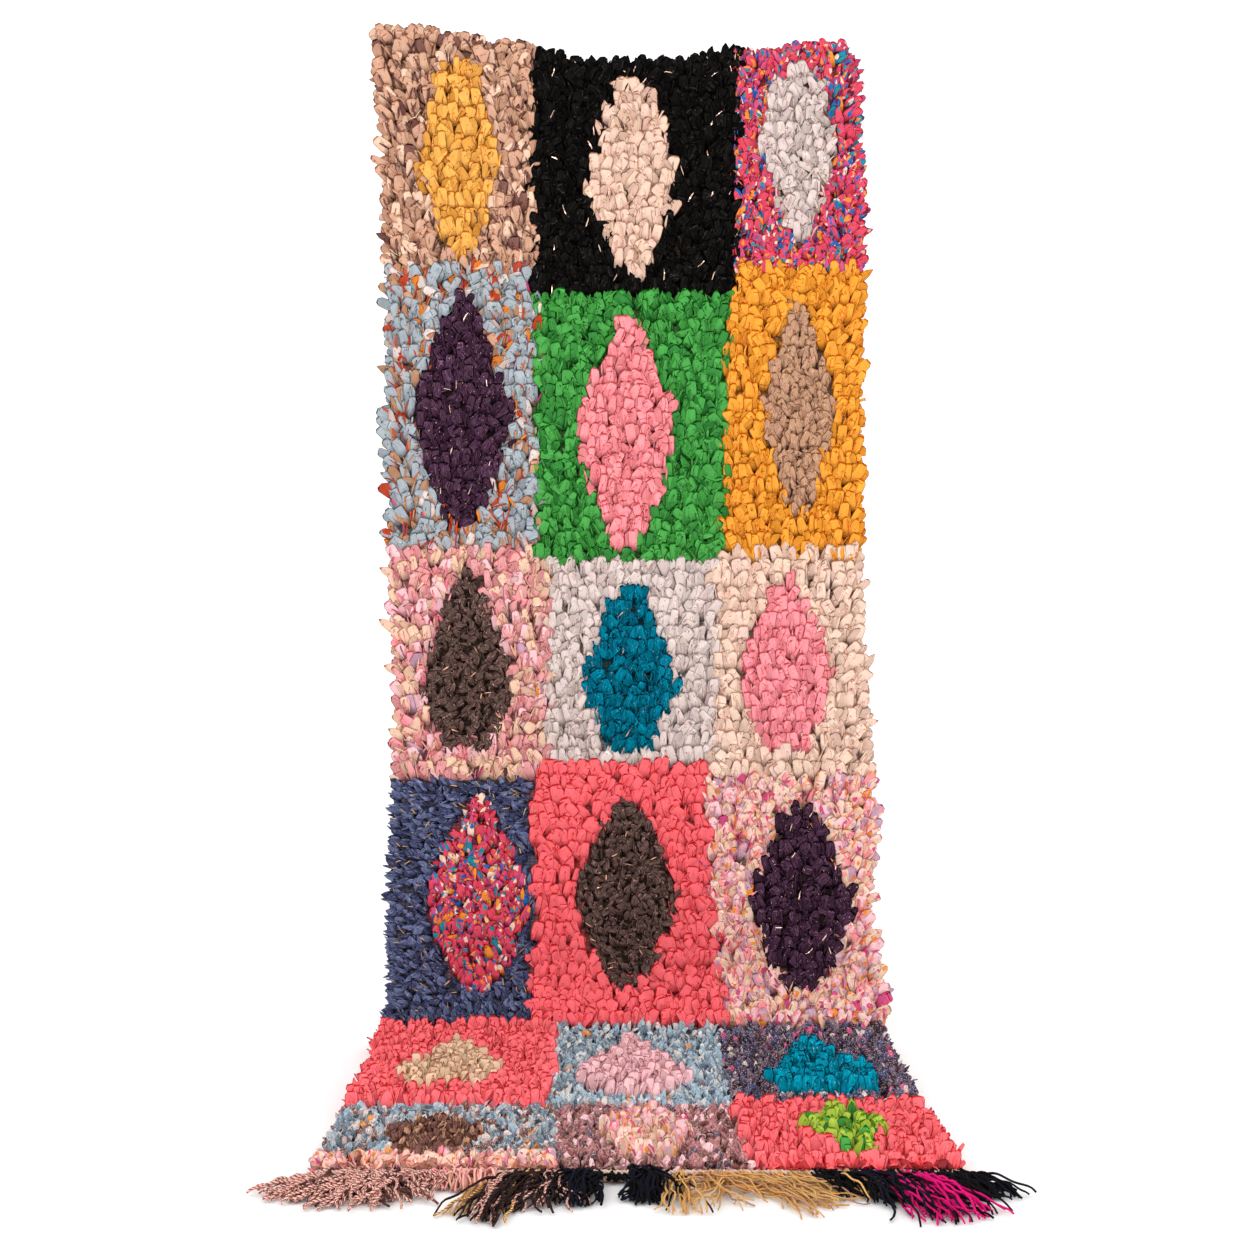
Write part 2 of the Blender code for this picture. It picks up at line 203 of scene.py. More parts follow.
# The width of a petal along it, as a share of its widest. "under" is for petals that hardly show.
TIPS = keyed_table(
    "name along wide",
    ("round", (0, 0.42, 0.86, 1), (0.84, 1, 0.88, 0.46)),
    ("point", (0, 0.4, 0.78, 1), (0.78, 1, 0.7, 0.08)),
    ("square", (0, 0.42, 0.89, 1), (0.9, 1, 0.98, 0.66)),
    ("under", (0, 0.35, 0.8, 1), (0.8, 1, 0.85, 0.35)),
)
PETAL_SIDES = 6
UNDER_SIDES = 4  # of petals that lie under others, of folds and of strands

# How the petals of a fabric lie. pitch is between knots in a row, lines is how many lines of petals a row
# of knots makes, and aim is where they point on the wall, from 0 for up the cloth to the right. turn
# spreads that out, and flare turns the petals near the rug's sides outwards. Less than 1, lean lets them
# stand up more on the floor. cuts are the shares of the petals on top, and mates, folds and wisps those of
# the knots with one of these too.
STYLES = keyed_table(
    "name pitch lines aim turn lean flare mates folds wisps cuts",
    ("shingle", 0.0158, 1, 0, 26, 1, 0.3, 1.35, 0.6, 0.0,
     {"blunt": 2, "leaf": 5, "tongue": 4, "point": 3, "roll": 1}),
    ("petal", 0.0138, 1, 0, 24, 1, 0.3, 1.35, 0.7, 0.0,
     {"leaf": 5, "tongue": 4, "blunt": 1, "point": 3, "roll": 1}),
    ("swirl", 0.014, 1, 0, 38, 1, 0.35, 1.35, 1.2, 0.08,
     {"leaf": 5, "tongue": 3, "blunt": 1, "point": 4, "roll": 1, "puff": 1}),
    ("frayed", 0.0146, 1, 0, 36, 1, 0.5, 1.35, 1.5, 0.15, {"leaf": 4, "tongue": 3, "point": 3, "blunt": 3}),
    ("leafy", 0.012, 2, 0, 34, 1, 0.7, 0.4, 0.25, 0.1, {"slip": 5, "point": 2, "leaf": 3}),
    ("shaggy", 0.0102, 2, 0, 60, 1, 0.4, 0.3, 0.3, 0.04, {"nub": 9, "slip": 2, "strand": 1}),
    ("swept", 0.0124, 2, -66, 34, 1, 0.6, 0.4, 0.3, 0.12, {"strand": 4, "slip": 4, "nub": 2}),
    ("tuft", 0.0136, 1, 0, 32, 0.8, 0.35, 1.35, 0.9, 0.1,
     {"leaf": 3, "point": 6, "tongue": 3, "blunt": 1, "roll": 1}),
    ("ruffle", 0.0118, 2, 0, 36, 0.7, 0.5, 0.6, 0.8, 0.1, {"flap": 7, "tongue": 2, "roll": 1}),
)

# Each fabric: its weave, how its petals lie and the shares of its dyes. under are the dyes of its mates,
# edges of its folds and threads of its wisps, where they differ. root is the brightness of the painted shade
# at its petals' roots, and where it is given, its mates get no painted shade of their own. strips is the
# share of petals whose dye is the same along a strip.
FABRICS = {
    # The cocoa of the beige's folds is painted shade: dark strips for the brown shade between its ruffled
    # petals.
    "beige": rag("jersey", "frayed", {"beige": 7, "peach": 3, "cocoa": 0.7}, edges={"cocoa": 3, "tan": 1}),
    "yellow": rag("jersey", "petal", {"yellow": 8, "ochre": 2}),
    "black": rag("worn", "swirl", {"black": 1}, threads={"cream": 1}),
    "blush": rag("jersey", "shingle", {"blush": 1}),
    "raspberry": rag(
        "print_cloth", "leafy", {"raspberry": 9, "magenta": 1.5, "tangerine": 0.5, "cobalt": 0.5, "sea": 0.4},
        edges={"plum": 1, "cobalt": 1},
    ),
    "pearl": rag("jersey", "swirl", {"pearl": 1}),
    "haze": rag(
        "jersey", "frayed", {"haze": 16, "pearl": 3, "tan": 0.4},
        under={"tan": 5, "rust": 1.8, "tangerine": 1.0, "haze": 4, "pearl": 2},
        edges={"rust": 3, "tan": 3, "tangerine": 1, "haze": 5, "magenta": 0.5},
    ),
    "aubergine": rag("streaked", "swirl", {"aubergine": 1}, threads={"cream": 1}),
    "green": rag("jersey", "swirl", {"green": 8, "moss": 2}),
    "pink": rag("jersey", "petal", {"pink": 1}),
    "orange": rag("jersey", "petal", {"orange": 1}),
    "taupe": rag("heather", "leafy", {"taupe": 1}),
    "rose_mix": rag(
        "jersey", "frayed", {"blossom": 7, "pale_rose": 4, "peach": 5, "rose": 0.8, "lilac": 0.2}, strips=0.6,
        edges={"blossom": 5, "rose": 2, "peach": 4, "magenta": 0.5, "tangerine": 0.4, "cocoa": 0.8},
    ),
    "brown": rag("streaked", "shaggy", {"brown": 1}, threads={"tan": 1}),
    "silver": rag("satin", "petal", {"pearl": 1}),
    "teal": rag("flecked", "swirl", {"teal": 1}, threads={"cream": 1}),
    "cream": rag("jersey", "shingle", {"cream": 1}),
    "rose": rag("jersey", "petal", {"rose": 1}),
    "navy": rag("twill", "swept", {"navy": 4, "midnight": 4}, threads={"gold": 1}),
    "confetti": rag(
        "print_cloth", "leafy",
        {"raspberry": 10, "magenta": 1.5, "sea": 0.7, "tangerine": 1.0, "cream": 0.6, "cobalt": 0.3},
        edges={"plum": 1, "raspberry": 1},
    ),
    "coral": rag("jersey", "shingle", {"coral": 1}, root=0.74),
    "pastel_mix": rag(
        "pale_print", "frayed", {"peach": 6, "pale_rose": 6, "lilac": 0.8, "cream": 3, "shell": 7},
        strips=0.4, root=0.72, under={"magenta": 1, "tangerine": 0.7, "lilac": 3, "rose": 2, "peach": 5},
        edges={"magenta": 2, "tangerine": 1, "lilac": 3, "rose": 3, "peach": 4},
    ),
    "coral_floor": rag("jersey", "tuft", {"faded_coral": 1}, root=0.78),
    "sand": rag("jersey", "tuft", {"sand": 1}),
    "denim_mix": rag(
        "tweed", "shaggy", {"denim": 9, "slate": 4, "sky": 5, "pearl": 0.6, "tangerine": 0.15, "cocoa": 0.2},
    ),
    "grey_mix": rag(
        "tweed", "shaggy", {"denim": 3, "slate": 4, "haze": 2, "pearl": 4, "cocoa": 2, "tangerine": 0.3},
    ),
    "pale_rose": rag("jersey", "tuft", {"pale_rose": 1}),
    "night_mix": rag(
        "tweed", "shaggy", {"midnight": 5, "aubergine": 6, "dusk": 4, "magenta": 0.7, "pearl": 0.8},
    ),
    "teal_floor": rag("flecked", "tuft", {"lagoon": 1}),
    "cocoa_heather": rag("heather", "shaggy", {"cocoa": 5, "taupe": 3}),
    "mauve": rag("tweed", "shaggy", {"mauve": 5, "cocoa": 2, "dusk": 1, "pale_rose": 1.4}),
    "peach_mix": rag(
        "pale_print", "tuft", {"peach": 3, "pale_rose": 4, "shell": 6, "magenta": 0.2, "tangerine": 0.2},
    ),
    "lime": rag("jersey", "tuft", {"lime": 6, "green": 1}),
    "hem_mix": rag(
        "pale_print", "ruffle", {"shell": 16, "pale_rose": 4, "rose": 0.6}, root=1.0,
        edges={"magenta": 1, "tangerine": 1.5, "rose": 3, "shell": 5, "lilac": 1},
    ),
}

# The rows of blocks: how far down the cloth each of their three blocks ends, and the two seams between
# columns. slant is how far the right seam moves to the right over the row's height.
BLOCK_ROWS = table(
    "left_end middle_end right_end left_seam right_seam slant",
    (0.364, 0.399, 0.362, -0.161, 0.189, 0.0),
    (0.838, 0.87, 0.857, -0.155, 0.177, -0.014),
    (1.234, 1.222, 1.24, -0.136, 0.153, 0.0),
    (1.676, 1.676, 1.676, -0.161, 0.132, 0.042),
    (2.122, 2.122, 2.122, -0.119, 0.152, 0.0),
    (2.356, 2.4, 2.4, -0.097, 0.15, 0.012),
)
COLUMN_NAMES = ("left", "middle", "right")

# Each block with its lozenge, from the top row down and from left to right. x is the lozenge's middle, top
# and bottom are how far down the cloth it starts and ends, and widest is where it is widest as a share of
# its height. Its sides are powers of the height, upper above the widest place and lower below it, where 1
# is straight and less is rounder. foot is the width that it keeps to its very end.
BLOCKS = table(
    "name ground lozenge x top bottom half widest upper lower foot",
    ("beige_block", "beige", "yellow", -0.29, 0.022, 0.355, 0.066, 0.52, 0.45, 0.7, 0.0),
    ("black_block", "black", "blush", 0.01, 0.026, 0.385, 0.075, 0.53, 0.55, 0.65, 0.0),
    ("raspberry_block", "raspberry", "pearl", 0.296, 0.026, 0.318, 0.062, 0.42, 0.5, 0.62, 0.0),
    ("haze_block", "haze", "aubergine", -0.284, 0.396, 0.808, 0.084, 0.53, 0.85, 0.55, 0.0),
    ("green_block", "green", "pink", 0.0, 0.44, 0.846, 0.084, 0.45, 0.85, 0.48, 0.0),
    ("orange_block", "orange", "taupe", 0.297, 0.418, 0.784, 0.062, 0.46, 0.8, 0.52, 0.0),
    ("rose_mix_block", "rose_mix", "brown", -0.275, 0.878, 1.184, 0.081, 0.67, 0.62, 0.35, 0.52),
    ("silver_block", "silver", "teal", 0.006, 0.91, 1.186, 0.078, 0.62, 0.62, 0.4, 0.6),
    ("cream_block", "cream", "rose", 0.274, 0.897, 1.192, 0.077, 0.54, 0.7, 0.32, 0.45),
    ("navy_block", "navy", "confetti", -0.257, 1.27, 1.603, 0.087, 0.57, 0.62, 0.45, 0.2),
    ("coral_block", "coral", "brown", 0.0, 1.27, 1.603, 0.089, 0.5, 0.65, 0.52, 0.1),
    ("pastel_block", "pastel_mix", "aubergine", 0.3, 1.28, 1.616, 0.087, 0.54, 0.68, 0.6, 0.0),
    ("coral_floor_block", "coral_floor", "sand", -0.272, 1.79, 2.046, 0.086, 0.75, 0.95, 0.3, 0.6),
    ("denim_block", "denim_mix", "pale_rose", 0.006, 1.75, 2.075, 0.09, 0.74, 1.25, 0.4, 0.5),
    ("night_block", "night_mix", "teal_floor", 0.298, 1.785, 2.058, 0.086, 0.8, 0.9, 0.3, 0.8),
    ("blue_floor_block", "grey_mix", "cocoa_heather", -0.262, 2.178, 2.36, 0.07, 0.4, 0.6, 0.4, 0.7),
    ("mauve_block", "mauve", "peach_mix", 0.028, 2.182, 2.356, 0.062, 0.45, 0.6, 0.4, 0.5),
    ("coral_end_block", "coral_floor", "lime", 0.298, 2.165, 2.352, 0.06, 0.45, 0.7, 0.6, 0.4),
    ("hem_block", "hem_mix", "hem_mix", -0.25, 2.366, 2.4, 0.01, 0.5, 1.0, 1.0, 0.0),
)
HEM_BLOCK = len(BLOCKS) - 1

# The x of the pile's two long edges at distances down the cloth.
SIDE_EDGES = table(
    "down left right",
    (0.0, -0.428, 0.374), (0.05, -0.428, 0.394), (0.11, -0.416, 0.392), (0.24, -0.413, 0.402),
    (0.37, -0.404, 0.398), (0.52, -0.404, 0.399), (0.63, -0.41, 0.396), (0.78, -0.4, 0.397),
    (0.96, -0.4, 0.397), (1.14, -0.388, 0.409), (1.32, -0.4, 0.417), (1.48, -0.405, 0.411),
    (1.6, -0.403, 0.429), (1.72, -0.416, 0.435), (1.9, -0.404, 0.432), (2.22, -0.406, 0.424),
    (2.39, -0.404, 0.43),
)

# The top edge sags between its hung corners: how far it rises above its hanging height at each x.
TOP_EDGE = table(
    "x rise",
    (-0.43, 0.044), (-0.36, 0.05), (-0.31, 0.034), (-0.21, 0.023), (-0.13, 0.004), (-0.08, -0.01),
    (0.02, -0.012), (0.1, -0.008), (0.17, 0.008), (0.24, 0.014), (0.31, 0.026), (0.39, 0.026),
)
SAG_DEPTH = 0.42  # distance down the cloth over which the sag dies away

# ---- the cloth's form ----


def column(lines, name):
    return np.array([line[name] for line in lines])


def eased(value, places, heights):
    """Heights at each value, on a smooth line through the given points that never overshoots them."""
    value = np.asarray(value, float)
    at = np.clip(np.searchsorted(places, value) - 1, 0, len(places) - 2)
    share = np.clip((value - places[at]) / (places[at + 1] - places[at]), 0, 1)
    share = share * share * (3 - 2 * share)
    return heights[at] + share * (heights[at + 1] - heights[at])


def smooth(value):
    """0 below 0, 1 above 1 and a soft step between."""
    value = np.clip(value, 0, 1)
    return value * value * (3 - 2 * value)


def cloth_length(shape):
    flat = shape.hang_height + shape.floor_reach - 2 * shape.bend_radius
    return flat + shape.bend_radius * math.pi / 2


def side_edges(down):
    places = column(SIDE_EDGES, "down")
    return eased(down, places, column(SIDE_EDGES, "left")), eased(down, places, column(SIDE_EDGES, "right"))


def surface(shape, x, down):
    """Points on the cloth's back, and there the directions down the cloth and out of it."""
    x, down = np.broadcast_arrays(np.asarray(x, float), np.asarray(down, float))
    radius = shape.bend_radius
    start = shape.hang_height - radius
    turn = np.clip((down - start) / radius, 0, math.pi / 2)
    laid = np.maximum(down - start - radius * math.pi / 2, 0)
    fade = np.maximum(0, 1 - down / SAG_DEPTH)
    lift = fade * fade * eased(x, column(TOP_EDGE, "x"), column(TOP_EDGE, "rise"))
    y = radius * (np.cos(turn) - 1) - laid
    z = -np.minimum(down, start) - radius * np.sin(turn) + lift
    none = np.zeros_like(x)
    point = np.stack([x, y, z], -1)
    along = np.stack([none, -np.sin(turn), -np.cos(turn)], -1)
    out = np.stack([none, -np.cos(turn), np.sin(turn)], -1)
    return point, along, out


# ---- joined meshes ----


EDGE_CRISPNESS = 0.3  # below 1, petals are flat almost to their edges

# Places in a tube's own square of the bake map: its two caps lie under and over its side.
CAP_PLACES = (0.02, 0.98)
CAP_WIDTH, CAP_HEIGHT = 0.4, 0.015
SIDE_START, SIDE_HEIGHT = 0.05, 0.89
SQUARE_MARGIN = 0.04
ON_RIM = 0.999  # edges whose points are both nearer than this to the rim are sharp


class Template:
    """A closed tube of unit size, a flat strip or round, that is made once and bent many times."""

    def __init__(self, sides, along, flat):
        bm = bmesh.new()
        bmesh.ops.create_cone(bm, cap_ends=True, segments=sides, radius1=1, radius2=1, depth=1)
        rising = [e for e in bm.edges if abs(e.verts[0].co.z - e.verts[1].co.z) > 0.5]
        bmesh.ops.subdivide_edges(bm, edges=rising, cuts=len(along) - 2, use_grid_fill=False)
        bmesh.ops.recalc_face_normals(bm, faces=bm.faces[:])
        bm.verts.ensure_lookup_table()
        steps = len(along) - 1
        self.ring = np.array([round((v.co.z + 0.5) * steps) for v in bm.verts])
        power = EDGE_CRISPNESS if flat else 1
        self.across = np.array([math.copysign(abs(v.co.y) ** power, v.co.y) for v in bm.verts])
        self.thick = np.array([v.co.x for v in bm.verts])
        self.along = np.array(along)[self.ring]
        self.rim = np.where(self.ring == steps, 1.0, np.abs(self.across)) * flat
        angle = [math.atan2(v.co.y, v.co.x) % (2 * math.pi) for v in bm.verts]
        spoke = [round(a * sides / (2 * math.pi)) % sides for a in angle]
        loops, counts, cells, cloth = [], [], [], []
        for face in bm.faces:
            at = [v.index for v in face.verts]
            loops += at
            counts.append(len(at))
            spokes = [spoke[k] for k in at]
            capped = len({self.ring[k] for k in at}) == 1
            wraps = not capped and 0 in spokes and sides - 1 in spokes
            for k in at:
                turn = sides if wraps and spoke[k] == 0 else spoke[k]
                if capped:
                    place = CAP_PLACES[self.ring[k] > 0] + CAP_HEIGHT * self.thick[k]
                    cells.append((0.5 + CAP_WIDTH * self.across[k], place))
                else:
                    cells.append((turn / sides, SIDE_START + SIDE_HEIGHT * self.along[k]))
                cloth.append((self.across[k], self.along[k]))
        bm.free()
        self.loops, self.counts = np.array(loops), np.array(counts)
        self.cells, self.cloth = np.array(cells), np.array(cloth)


class Joined:
    """Collects bent copies of templates and makes one mesh of them."""

    def __init__(self):
        self.parts = []

    def add(self, template, points, colours, spans, slot):
        """points and colours are copies by corners by 3, and spans each copy's real width and length."""
        self.parts.append((template, points, colours, spans, slot))

    def build(self, name, materials, rng):
        points, colours, rims, loops, counts, cells, cloth, slots = [], [], [], [], [], [], [], []
        total = sum(len(p[1]) for p in self.parts)
        across = math.ceil(math.sqrt(total))
        base, done = 0, 0
        for template, spots, dyes, spans, slot in self.parts:
            copies, corners = spots.shape[:2]
            points.append(spots.reshape(-1, 3))
            colours.append(dyes.reshape(-1, 3))
            rims.append(np.tile(template.rim, copies))
            offsets = base + corners * np.arange(copies)
            loops.append((template.loops[None] + offsets[:, None]).ravel())
            counts.append(np.tile(template.counts, copies))
            place = done + np.arange(copies)
            grid = np.stack([place % across, place // across], -1)[:, None]
            inner = SQUARE_MARGIN + (1 - 2 * SQUARE_MARGIN) * template.cells[None]
            cells.append(((grid + inner) / across).reshape(-1, 2))
            shift = rng.uniform(0, 1, (copies, 1, 2))
            cloth.append((shift + template.cloth[None] * spans[:, None]).reshape(-1, 2))
            slots.append(np.full(copies * len(template.counts), slot))
            base += copies * corners
            done += copies
        arrays = (points, colours, rims, loops, counts, cells, cloth, slots)
        return new_mesh(name, materials, *[np.concatenate(a) for a in arrays])


def new_mesh(name, materials, points, colours, rims, loops, counts, cells, cloth, slots):
    """A smooth mesh object with a dye and a nearness to the rim at each point, a bake map and a cloth map."""
    mesh = bpy.data.meshes.new(name)
    mesh.vertices.add(len(points))
    mesh.vertices.foreach_set("co", points.astype(np.float32).ravel())
    mesh.loops.add(len(loops))
    mesh.loops.foreach_set("vertex_index", loops.astype(np.int32))
    mesh.polygons.add(len(counts))
    starts = np.concatenate([[0], np.cumsum(counts)[:-1]]).astype(np.int32)
    mesh.polygons.foreach_set("loop_start", starts)
    mesh.polygons.foreach_set("loop_total", counts.astype(np.int32))
    mesh.polygons.foreach_set("material_index", slots.astype(np.int32))
    mesh.update(calc_edges=True)
    for layer, places in (("OFBake", cells), ("cloth", cloth)):
        mesh.uv_layers.new(name=layer).data.foreach_set("uv", places.astype(np.float32).ravel())
    dyes = np.concatenate([colours, np.ones((len(colours), 1))], -1).astype(np.float32)
    mesh.attributes.new("dye", "FLOAT_COLOR", "POINT").data.foreach_set("color", dyes.ravel())
    mesh.attributes.new("rim", "FLOAT", "POINT").data.foreach_set("value", rims.astype(np.float32))
    mesh.shade_smooth()
    ends = np.zeros(len(mesh.edges) * 2, np.int32)
    mesh.edges.foreach_get("vertices", ends)
    sharp = rims[ends.reshape(-1, 2)].min(1) > ON_RIM
    mesh.attributes.new("sharp_edge", "BOOLEAN", "EDGE").data.foreach_set("value", sharp)
    mesh.validate()
    obj = bpy.data.objects.new(name, mesh)
    bpy.context.scene.collection.objects.link(obj)
    for material in materials:
        mesh.materials.append(material)
    return obj


def keep(obj, slot, *nodes):
    """The piece rides with the rug and stands for the given nodes, which it hides. slot is not used."""
    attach(obj, "root")
    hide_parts(*nodes)
    return obj


# ---- materials ----


def start_material(name, roughness, sheen):
    material = bpy.data.materials.new(name)
    material.use_nodes = True
    shader = material.node_tree.nodes["Principled BSDF"]
    shader.inputs["Roughness"].default_value = roughness
    shader.inputs["Sheen Weight"].default_value = sheen
    shader.inputs["Sheen Roughness"].default_value = 0.4
    shader.inputs["Specular IOR Level"].default_value = 0.03
    return material, shader


def node(material, kind, **settings):
    made = material.node_tree.nodes.new(kind)
    for key, value in settings.items():
        if key in made.inputs:
            made.inputs[key].default_value = value
        else:
            setattr(made, key, value)
    return made


def link(material, output, target):
    material.node_tree.links.new(output, target)


def cloth_map(material, stretch=(1, 1), turn=0):
    """The piece's own cloth map in metres, stretched and turned for one texture."""
    uv = node(material, "ShaderNodeUVMap", uv_map="cloth")
    mapping = node(material, "ShaderNodeMapping", Scale=(*stretch, 1), Rotation=(0, 0, math.radians(turn)))
    link(material, uv.outputs["UV"], mapping.inputs["Vector"])
    return mapping.outputs["Vector"]


def ranged(material, value, low, high, floor=0.0, ceiling=1.0):
    """A value that runs from floor to ceiling, made to run from low to high."""
    limits = {"From Min": floor, "From Max": ceiling, "To Min": low, "To Max": high}
    made = node(material, "ShaderNodeMapRange", **limits)
    link(material, value, made.inputs["Value"])
    return made.outputs["Result"]


def noise(material, scale, detail=2, stretch=(1, 1)):
    """Soft spots on the cloth map, drawn out along it where a stretch is below 1."""
    made = node(material, "ShaderNodeTexNoise", Scale=scale, Detail=detail)
    link(material, cloth_map(material, stretch), made.inputs["Vector"])
    return made.outputs["Fac"]


def toned(material, spots, low, high, tail=0.25):
    """A brightness from low to high that follows noise, with the noise's rare ends cut off."""
    return ranged(material, spots, low, high, tail, 1 - tail)


WAVE_RADIANS = 20  # at a scale of 1, a wave texture turns by this much over each metre


def wave(material, pitch, turn=0):
    """Fine ribs across the map's first direction, pitch metres apart."""
    scale = 2 * math.pi / (WAVE_RADIANS * pitch)
    made = node(material, "ShaderNodeTexWave", Scale=scale, Distortion=0.6)
    link(material, cloth_map(material, turn=turn), made.inputs["Vector"])
    return made.outputs["Fac"]


def bumped(material, shader, height, strength, distance):
    made = node(material, "ShaderNodeBump", Strength=strength, Distance=distance)
    link(material, height, made.inputs["Height"])
    link(material, made.outputs["Normal"], shader.inputs["Normal"])


def dyed(material):
    return node(material, "ShaderNodeAttribute", attribute_name="dye").outputs["Color"]


def valued(material, colour, value):
    """The colour with its brightness scaled by a varying value."""
    made = node(material, "ShaderNodeHueSaturation")
    link(material, colour, made.inputs["Color"])
    link(material, value, made.inputs["Value"])
    return made.outputs["Color"]


# The colour sockets of a Mix node go by their numbers, because others there have the same names.
MIX_FACTOR, MIX_FIRST, MIX_SECOND, MIX_RESULT = 0, 6, 7, 2


def mixed(material, factor, first, second):
    made = node(material, "ShaderNodeMix", data_type="RGBA")
    link(material, factor, made.inputs[MIX_FACTOR])
    link(material, first, made.inputs[MIX_FIRST])
    if isinstance(second, tuple):
        made.inputs[MIX_SECOND].default_value = (*second, 1)
    else:
        link(material, second, made.inputs[MIX_SECOND])
    return made.outputs[MIX_RESULT]


def sums(material, operation, first, second=None):
    made = node(material, "ShaderNodeMath", operation=operation)
    for place, value in enumerate((first, second)):
        if isinstance(value, float):
            made.inputs[place].default_value = value
        elif value is not None:
            link(material, value, made.inputs[place])
    return made.outputs["Value"]


def coloured(material, shader, colour, tone):
    """Sets the shader's colour, its brightness scaled by a tone."""
    link(material, valued(material, colour, tone), shader.inputs["Base Color"])


OUTLINE = (0.87, 0.96)  # painted shade round each petal: nearness to the rim from which it darkens, and where it is darkest
# Painted shade in each crease: the noise level that it follows, its width and its darkness.
CREASE_LEVEL, CREASE_WIDTH, CREASE_SHADE = 0.5, (0.003, 0.015), 0.85
# Painted highlight on the ridge beside each crease: its noise level and width.
RIDGE_LEVEL, RIDGE_WIDTH = 0.545, (0.004, 0.022)
LINE_DEEPER = 2.0  # colours in the painted shade of the lines are raised to this power
# Brightness, at the darkest, of the painted shade in the lines round petals and in creases.
LINE_DARKER = 0.45
RIDGE_HIGHLIGHT = 1.25  # painted highlight: brightness of the ridge beside each crease
BLACK_RIDGE_HIGHLIGHT = 6.0  # painted highlight on the ridges of black cotton
FLECKED_RIDGE_HIGHLIGHT = 1.9  # painted highlight on the ridges of other dark cotton
STREAKED_RIDGE_HIGHLIGHT = 3.0  # painted highlight on the ridges of dark knit


def painted_fold_light(material):
    """Painted shade at each point in the lines round a petal and in its creases, and painted highlight on
    ridges.
    """
    rim = node(material, "ShaderNodeAttribute", attribute_name="rim").outputs["Fac"]
    outline = ranged(material, rim, 0, 1, *OUTLINE)
    folds = noise(material, scale=125, detail=0, stretch=(1, 0.28))
    levels = (CREASE_LEVEL, RIDGE_LEVEL)
    away = [sums(material, "ABSOLUTE", sums(material, "SUBTRACT", folds, level)) for level in levels]
    crease = ranged(material, away[0], CREASE_SHADE, 0, *CREASE_WIDTH)
    return sums(material, "MAXIMUM", outline, crease), ranged(material, away[1], 1, 0, *RIDGE_WIDTH)


def shaded(material, pale=RIDGE_HIGHLIGHT):
    """The dye with painted shade, deeper and darker, in the lines and a painted highlight on the ridges."""
    line, ridge = painted_fold_light(material)
    deep = node(material, "ShaderNodeGamma")
    link(material, dyed(material), deep.inputs["Color"])
    link(material, ranged(material, line, 1, LINE_DEEPER), deep.inputs["Gamma"])
    lit = valued(material, deep.outputs["Color"], ranged(material, ridge, 1, pale))
    return valued(material, lit, ranged(material, line, 1, LINE_DARKER))


def jersey(name, dyes):
    """Soft stretch jersey with fine ribs along the strip."""
    material, shader = start_material(name, roughness=0.88, sheen=0.01)
    tone = toned(material, noise(material, scale=70, detail=3), 0.86, 1.12)
    coloured(material, shader, shaded(material), tone)
    bumped(material, shader, wave(material, pitch=0.0012), strength=0.35, distance=0.0004)
    return material


def worn(name, dyes):
    """Washed dark cotton, streaked at random, with a strong painted highlight on the ridges beside its
    creases.
    """
    material, shader = start_material(name, roughness=0.8, sheen=0)
    tone = toned(material, noise(material, scale=240, stretch=(1, 0.3)), 0.6, 1.6, tail=0.3)
    coloured(material, shader, shaded(material, BLACK_RIDGE_HIGHLIGHT), tone)
    bumped(material, shader, wave(material, pitch=0.0012), strength=0.35, distance=0.0004)
    return material


def satin(name, dyes):
    """Smooth shiny lining cloth."""
    material, shader = start_material(name, roughness=0.42, sheen=0.1)
    shader.inputs["Specular IOR Level"].default_value = 0.5
    coloured(material, shader, shaded(material), toned(material, noise(material, scale=60), 0.9, 1.1))
    bumped(material, shader, noise(material, scale=400, stretch=(1, 3)), strength=0.2, distance=0.0005)
    return material


def twill(name, dyes):
    """Washed twill with slanting ribs and pale threads where wear shows."""
    material, shader = start_material(name, roughness=0.92, sheen=0.01)
    fading = noise(material, scale=700, stretch=(1, 0.12))
    ground = valued(material, shaded(material), toned(material, fading, 0.5, 1.3, tail=0.3))
    threads = ranged(material, fading, 0, 0.55, 0.6, 0.7)
    link(material, mixed(material, threads, ground, tuple(dyes.sky)), shader.inputs["Base Color"])
    bumped(material, shader, wave(material, pitch=0.0014, turn=35), strength=0.5, distance=0.0005)
    return material


def heather(name, dyes):
    """Knit of mixed fibres, streaked along the strip."""
    material, shader = start_material(name, roughness=0.94, sheen=0.06)
    streaks = noise(material, scale=700, detail=3, stretch=(1, 0.15))
    coloured(material, shader, shaded(material), toned(material, streaks, 0.5, 1.5))
    bumped(material, shader, streaks, strength=0.6, distance=0.0008)
    return material


def flecked(name, dyes, pale=FLECKED_RIDGE_HIGHLIGHT, brightest=1.5):
    """Dark cotton with sparse pale nubs in it and a painted highlight on its ridges."""
    material, shader = start_material(name, roughness=0.86, sheen=0)
    flecks = noise(material, scale=330, stretch=(1, 0.5))
    streaks = noise(material, scale=420, detail=3, stretch=(1, 0.2))
    ground = valued(material, shaded(material, pale), toned(material, streaks, 0.5, brightest, tail=0.3))
    share = ranged(material, flecks, 0, 1, 0.7, 0.73)
    link(material, mixed(material, share, ground, tuple(dyes.peach)), shader.inputs["Base Color"])
    bumped(material, shader, flecks, strength=0.4, distance=0.0006)
    return material


def streaked(name, dyes):
    """Dark knit of mixed fibres, with a strong painted highlight along its ridges."""
    return flecked(name, dyes, STREAKED_RIDGE_HIGHLIGHT, brightest=2.1)


DARK_PRINT = ("cobalt", "sea", "tangerine", "cream", "plum", "magenta")
PALE_PRINT = ("rose", "tangerine", "lilac", "cream", "magenta", "rose")


